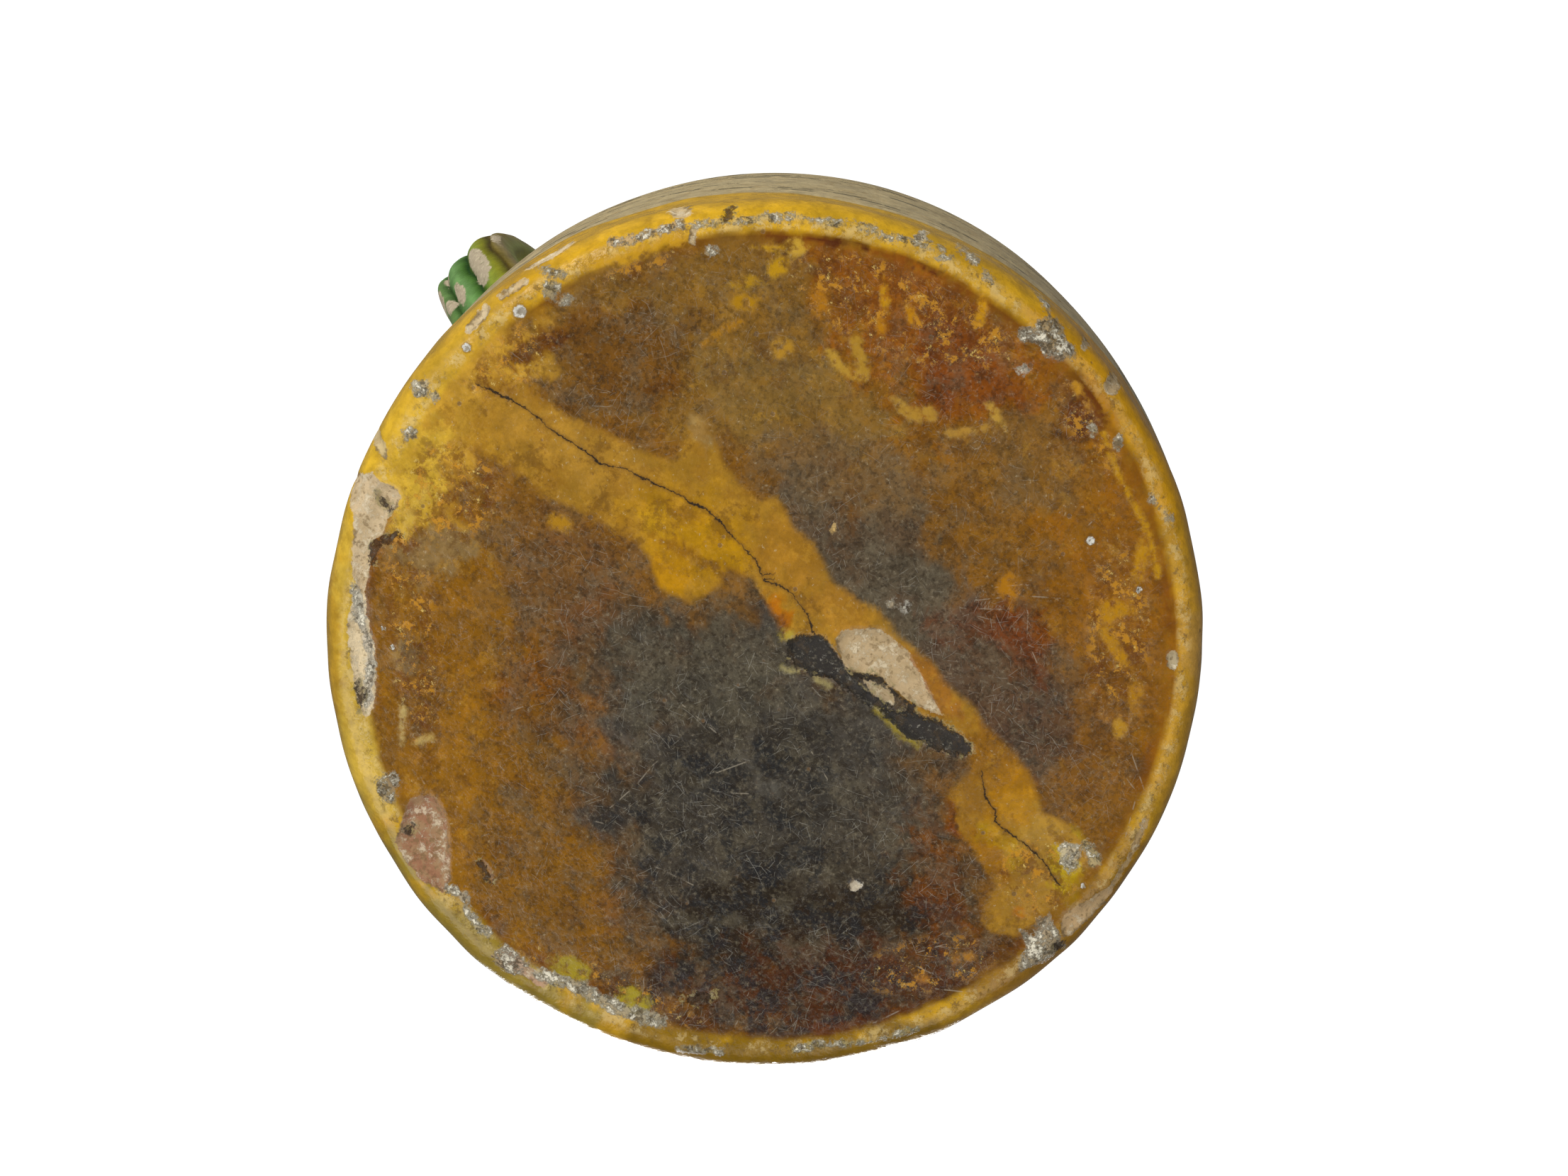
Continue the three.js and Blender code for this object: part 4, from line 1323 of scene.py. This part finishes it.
def pinholes(glaze):
    """Brown pinholes where bubbles broke through the glaze."""
    cells = node(glaze.tree, "ShaderNodeTexVoronoi",
                 {"Vector": glaze.place, "Scale": 1 / (PINHOLE_CELL * MM)})
    chance = node(glaze.tree, "ShaderNodeSeparateColor", {"Color": cells["Color"]})[0]
    holes = glaze.overlap((cells["Distance"], 0.13, 0.07), (chance, 0.7, 0.8), 0.7)
    glaze.lay(holes, rgba("#5E4420"), 0.5, -0.1)


def brush_dashes(glaze):
    """Short level dashes of dark slip brushed on the cream wall."""
    tree = glaze.tree
    axes = node(tree, "ShaderNodeSeparateXYZ", {"Vector": glaze.where})
    around = node(tree, "ShaderNodeMath", {0: axes[1], 1: axes[0]}, operation="ARCTAN2")[0]
    unrolled = node(tree, "ShaderNodeCombineXYZ", {"X": around, "Y": axes[2]})[0]
    grid = node(tree, "ShaderNodeVectorMath",
                {0: unrolled, 1: (BELLY_RADIUS / DASH_CELL, 1 / (DASH_ROW * MM), 1.0)},
                operation="MULTIPLY")[0]
    cells = node(tree, "ShaderNodeTexVoronoi", {"Vector": grid, "Scale": 1.0, "Randomness": 0.9},
                 voronoi_dimensions="2D")
    away = node(tree, "ShaderNodeVectorMath", {0: grid, 1: cells["Position"]},
                operation="SUBTRACT")[0]
    size = node(tree, "ShaderNodeVectorMath", {0: away}, operation="ABSOLUTE")[0]
    parts = node(tree, "ShaderNodeSeparateXYZ", {"Vector": size})
    chance = node(tree, "ShaderNodeSeparateColor", {"Color": cells["Color"]})
    level = glaze.wavering(parts[1], 1.6, 0.18, 5.0)
    dash = glaze.overlap((level, 0.26, 0.1), (parts[0], 0.42, 0.3), (chance[1], 0.4, 0.6),
                         glaze.patches(1.2, 0.36, 0.48), glaze.amount("wall"), 0.85)
    glaze.lay(dash, rgba("#524B34"), 0.3)


def lead_glaze_over_buff_clay():
    """Clear lead glaze poured over buff earthenware: glossy and honey to brown, matt
    and sandy where it has chipped off."""
    stored = ["glaze", "flat", "worn", "soot", "drips", "pit", "ring", "wall",
              "splash", "splash_colour", "bare", "bare_colour", "grit", "grit_colour",
              "tear", "tear_colour", "crack_gap", "crack_side", "scratch_gap", "scratch_side"]
    glaze = Glaze("lead_glaze_over_buff_clay", GLAZE_ROUGHNESS, stored)
    mottle(glaze)
    dust(glaze)
    standing_ring(glaze)
    pinholes(glaze)
    brush_dashes(glaze)
    drips(glaze)
    scratch(glaze)
    splash(glaze)
    burst_bubbles(glaze)
    chip(glaze)
    crust(glaze)
    tear(glaze)
    crack(glaze)
    glaze.height = glaze.wavering(glaze.height, 3.4, 0.16, 5.0, 0.62)
    return glaze.fire()


def copper_green_glaze():
    """Lead glaze stained green with copper, rubbed through to the clay on the ribs."""
    glaze = Glaze("copper_green_glaze", STRAP_ROUGHNESS, ["glaze", "rubbed"])
    glaze.shade(glaze.patches(2.2, 0.3, 0.7), 0.8, 1.15)
    # The rubbed places include one painted highlight near the strap's edge.
    bare = glaze.overlap((glaze.wavering(glaze.amount("rubbed"), 1.6, 0.8), -0.15, 0.15))
    glaze.lay(bare, rgba("#A0927A"), 0.85)
    glaze.lay(glaze.overlap(glaze.patches(0.8, 0.5, 0.62), bare, 0.6), rgba("#B8AB8E"), height=0.06)
    glaze.lay(glaze.overlap(glaze.patches(1.2, 0.46, 0.34), bare, 0.5), rgba("#6E6A4A"))
    glaze.height = glaze.wavering(glaze.height, 2.0, 0.12, 3.0)
    return glaze.fire()


# ---- handle -------------------------------------------------------------------------


def strap_line():
    """The middle of the strap, as distance from the axis and height, from the clay
    smeared down the belly to the joint under the rim."""
    foot = outside_radius(STRAP_FOOT)
    top = outside_radius(STRAP_TOP)
    lifting = (foot + 3.6, STRAP_FOOT + 6)
    farthest = (STRAP_REACH, STRAP_BEND)
    return [
        [(outside_radius(SMEAR_FOOT) - 3.0, SMEAR_FOOT),
         (outside_radius(SMEAR_MIDDLE) - 1.0, SMEAR_MIDDLE),
         (foot + 0.8, STRAP_FOOT), lifting],
        [lifting, (foot + 6.4, STRAP_FOOT + 12), (STRAP_REACH, STRAP_BEND - 15), farthest],
        [farthest, (STRAP_REACH, STRAP_BEND + 16),
         (0.4 * top + 0.6 * STRAP_REACH, STRAP_TOP + 1.5), (top - STRAP_BITE, STRAP_TOP)],
    ]


def strap_section(steps):
    """Across the strap: ribs on the outside, a flat back with round corners."""
    half = STRAP_WIDTH / 2
    across = np.linspace(-half, half, steps)
    ribs = np.abs(np.sin(math.pi * np.interp(across, RIB_EDGES, range(len(RIB_EDGES))))) ** 0.8
    ribs *= np.interp(across, RIB_EDGES, RIB_FULLNESS)
    edge = 1 - np.abs(across / half) ** 6
    front = np.stack([across, (STRAP_THICKNESS / 2 + RIB_HEIGHT * ribs) * (0.45 + 0.55 * edge)], 1)
    turn = np.linspace(0, math.pi, steps // 2)[1:-1]
    back_out = np.sign(np.cos(turn)) * np.abs(np.cos(turn)) ** 0.5 * half
    back_in = -np.abs(np.sin(turn)) ** 0.5 * STRAP_THICKNESS / 2
    return np.concatenate([front, np.stack([back_out, back_in], 1)])


def build_handle():
    """The strap's mesh in millimetres, with its across and along places."""
    line = even_points(dense(strap_line()), STRAP_ROW)
    ahead = np.gradient(line, axis=0)
    ahead /= np.hypot(*ahead.T)[:, None]
    section = strap_section(STRAP_STEPS)
    run = np.arange(len(line)) * STRAP_ROW
    left = run[-1] - run
    flare = 1 + 0.22 * np.exp(-(run / 9) ** 2) + 0.3 * np.exp(-(left / 7) ** 2)
    swell = 0.25 + 0.75 * ease(run, 0, 17)
    mesh = Mesh()
    count = len(section)
    rings = []
    for i, (middle, way) in enumerate(zip(line, ahead)):
        out = section[:, 1] * swell[i]
        x = middle[0] + way[1] * out
        z = middle[1] - way[0] * out
        first = mesh.add_points(np.stack([x, section[:, 0] * flare[i], z], 1))
        share = i / (len(line) - 1)
        rings.append(Ring(first, count, [(j / count, share) for j in range(count + 1)]))
    for low, high in zip(rings, rings[1:]):
        mesh.join(low, high)
    for end in (rings[0], rings[-1]):
        corners = [end.at(j) for j in range(count)]
        mesh.add_face(corners if end is rings[-1] else corners[::-1], end.map[:count])
    across = np.tile(section[:, 0], len(line))
    outer = np.tile(np.arange(count) < STRAP_STEPS, len(line))
    along = np.repeat(run, count)
    return mesh, across, along, outer


def make_handle():
    built, across, along, outer = build_handle()
    points = np.concatenate(built.points)
    points += 0.12 * cloud(points, 6, 20)[:, None] * np.array([1, 0.6, 0.4])
    # The bands hold painted shade in the valleys between the ribs.
    places = np.array([band for band, _ in STRAP_BANDS_AND_SHADE])
    shades = np.array([linear(shade) for _, shade in STRAP_BANDS_AND_SHADE])
    wander = across + 0.8 * cloud(points, 7, 21)
    colours = np.stack([np.interp(wander, places, shade) for shade in shades.T], 1)
    blend_in(colours, np.where(outer, 0.0, 0.7), linear(STRAP_BACK))
    rubbed = np.full(len(points), -FAR)
    # The one at 7.3 across is a painted highlight, the rest are rubs.
    for middle, run, half_across, half_along in STRAP_RUBS_AND_HIGHLIGHT:
        gap = np.hypot((across - middle) / half_across, (along - run) / half_along)
        rubbed = np.maximum(rubbed, np.where(outer, (1 - gap) * half_across, -FAR))
    handle = make_object("strap_handle", built, points)
    set_colour(handle.data, "glaze", colours)
    set_number(handle.data, "rubbed", rubbed)
    return handle


# ---- stage, camera and light --------------------------------------------------------


def make_floor():
    """A plain pale floor under the jug, clear from below and far from the jug."""
    bpy.ops.mesh.primitive_plane_add(size=FLOOR_SIZE * MM)
    floor = bpy.context.object
    floor.name = "floor"
    material = bpy.data.materials.new("pale_floor")
    material.use_nodes = True
    tree = material.node_tree
    tree.nodes.clear()
    back = node(tree, "ShaderNodeNewGeometry", {})["Backfacing"]
    where = node(tree, "ShaderNodeTexCoord", {})["Object"]
    away = node(tree, "ShaderNodeVectorMath", {0: where}, operation="LENGTH")["Value"]
    inputs = {"Value": away, "From Min": FLOOR_FADE[0] * MM, "From Max": FLOOR_FADE[1] * MM}
    far = node(tree, "ShaderNodeMapRange", inputs, interpolation_type="SMOOTHSTEP")[0]
    gone = node(tree, "ShaderNodeMath", {0: back, 1: far}, operation="MAXIMUM")[0]
    pale = node(tree, "ShaderNodeBsdfDiffuse", {"Color": rgba("#E9E8E6")})[0]
    clear = node(tree, "ShaderNodeBsdfTransparent", {})[0]
    both = node(tree, "ShaderNodeMixShader", {0: gone, 1: pale, 2: clear})[0]
    node(tree, "ShaderNodeOutputMaterial", {"Surface": both})
    floor.data.materials.append(material)
    floor.visible_diffuse = False
    floor.visible_glossy = False
    floor.visible_transmission = False
    floor.visible_shadow = False


def make_world():
    """White all round to the eye, and a softer even light on the jug."""
    world = bpy.data.worlds.new("white_studio")
    bpy.context.scene.world = world
    world.use_nodes = True
    tree = world.node_tree
    tree.nodes.clear()
    seen = node(tree, "ShaderNodeLightPath", {})["Is Camera Ray"]
    white = node(tree, "ShaderNodeBackground", {"Color": rgba("#FFFFFF"), "Strength": WHITE})[0]
    soft = node(tree, "ShaderNodeBackground", {"Color": rgba("#FFFFFF"), "Strength": AMBIENT})[0]
    both = node(tree, "ShaderNodeMixShader", {0: seen, 1: soft, 2: white})[0]
    node(tree, "ShaderNodeOutputWorld", {"Surface": both})


def seen_from_below(bearing, spread, height):
    """A point spread millimetres out in a bearing on the plan seen from below."""
    angle = HANDLE_BEARING - math.radians(bearing)
    return Vector((spread * math.cos(angle), spread * math.sin(angle), height)) * MM


def aim(thing, place, target):
    thing.location = place
    thing.rotation_euler = (target - place).to_track_quat("-Z", "Y").to_euler()


def add_softbox(name, place, target, size, power, mirrored):
    light = bpy.data.lights.new(name, "AREA")
    light.shape = "SQUARE"
    light.size = size * MM
    light.energy = power
    box = bpy.data.objects.new(name, light)
    bpy.context.scene.collection.objects.link(box)
    box.visible_camera = False
    box.visible_glossy = mirrored
    aim(box, place, target)


def add_lights():
    base = Vector((0, 0, 10)) * MM
    body = Vector((0, 0, 90)) * MM
    for name, bearing, size, power, mirrored in LIGHTS_BELOW:
        place = seen_from_below(bearing, *SOFTBOX_REACH)
        add_softbox(name, place, base, size, power, mirrored)
    for name, place, size, power, mirrored in LIGHTS_ABOVE:
        add_softbox(name, Vector(place) * MM, body, size, power, mirrored)


def add_camera():
    """Looks up at the base from below, a little off the axis."""
    towards = Vector((math.cos(CAMERA_BEARING), math.sin(CAMERA_BEARING), 0))
    up = Vector((0, 0, 1))
    way = -math.sin(CAMERA_TILT) * towards + math.cos(CAMERA_TILT) * up
    lean = math.cos(CAMERA_TILT) * towards + math.sin(CAMERA_TILT) * up
    side = lean.cross(way)
    right = lean * math.cos(CAMERA_TURN) - side * math.sin(CAMERA_TURN)
    above = lean * math.sin(CAMERA_TURN) + side * math.cos(CAMERA_TURN)
    forward = (way + FRAME_OFFSET[0] * right + FRAME_OFFSET[1] * above).normalized()
    right = forward.cross(above).normalized()
    above = right.cross(forward)
    camera = bpy.data.objects.new("camera", bpy.data.cameras.new("camera"))
    bpy.context.scene.collection.objects.link(camera)
    camera.data.lens = LENS
    camera.data.sensor_width = 36
    turn = Matrix((right, above, -forward)).transposed().to_4x4()
    camera.matrix_world = Matrix.Translation(-CAMERA_DISTANCE * MM * way) @ turn
    bpy.context.scene.camera = camera


# ---- the whole jug ------------------------------------------------------------------

body = make_body()
body.data.materials.append(lead_glaze_over_buff_clay())
handle = make_handle()
handle.data.materials.append(copper_green_glaze())
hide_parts("jug")
for piece in (body, handle):
    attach(piece, "root")

make_floor()
make_world()
add_lights()
add_camera()
bpy.context.scene.view_settings.view_transform = "Standard"
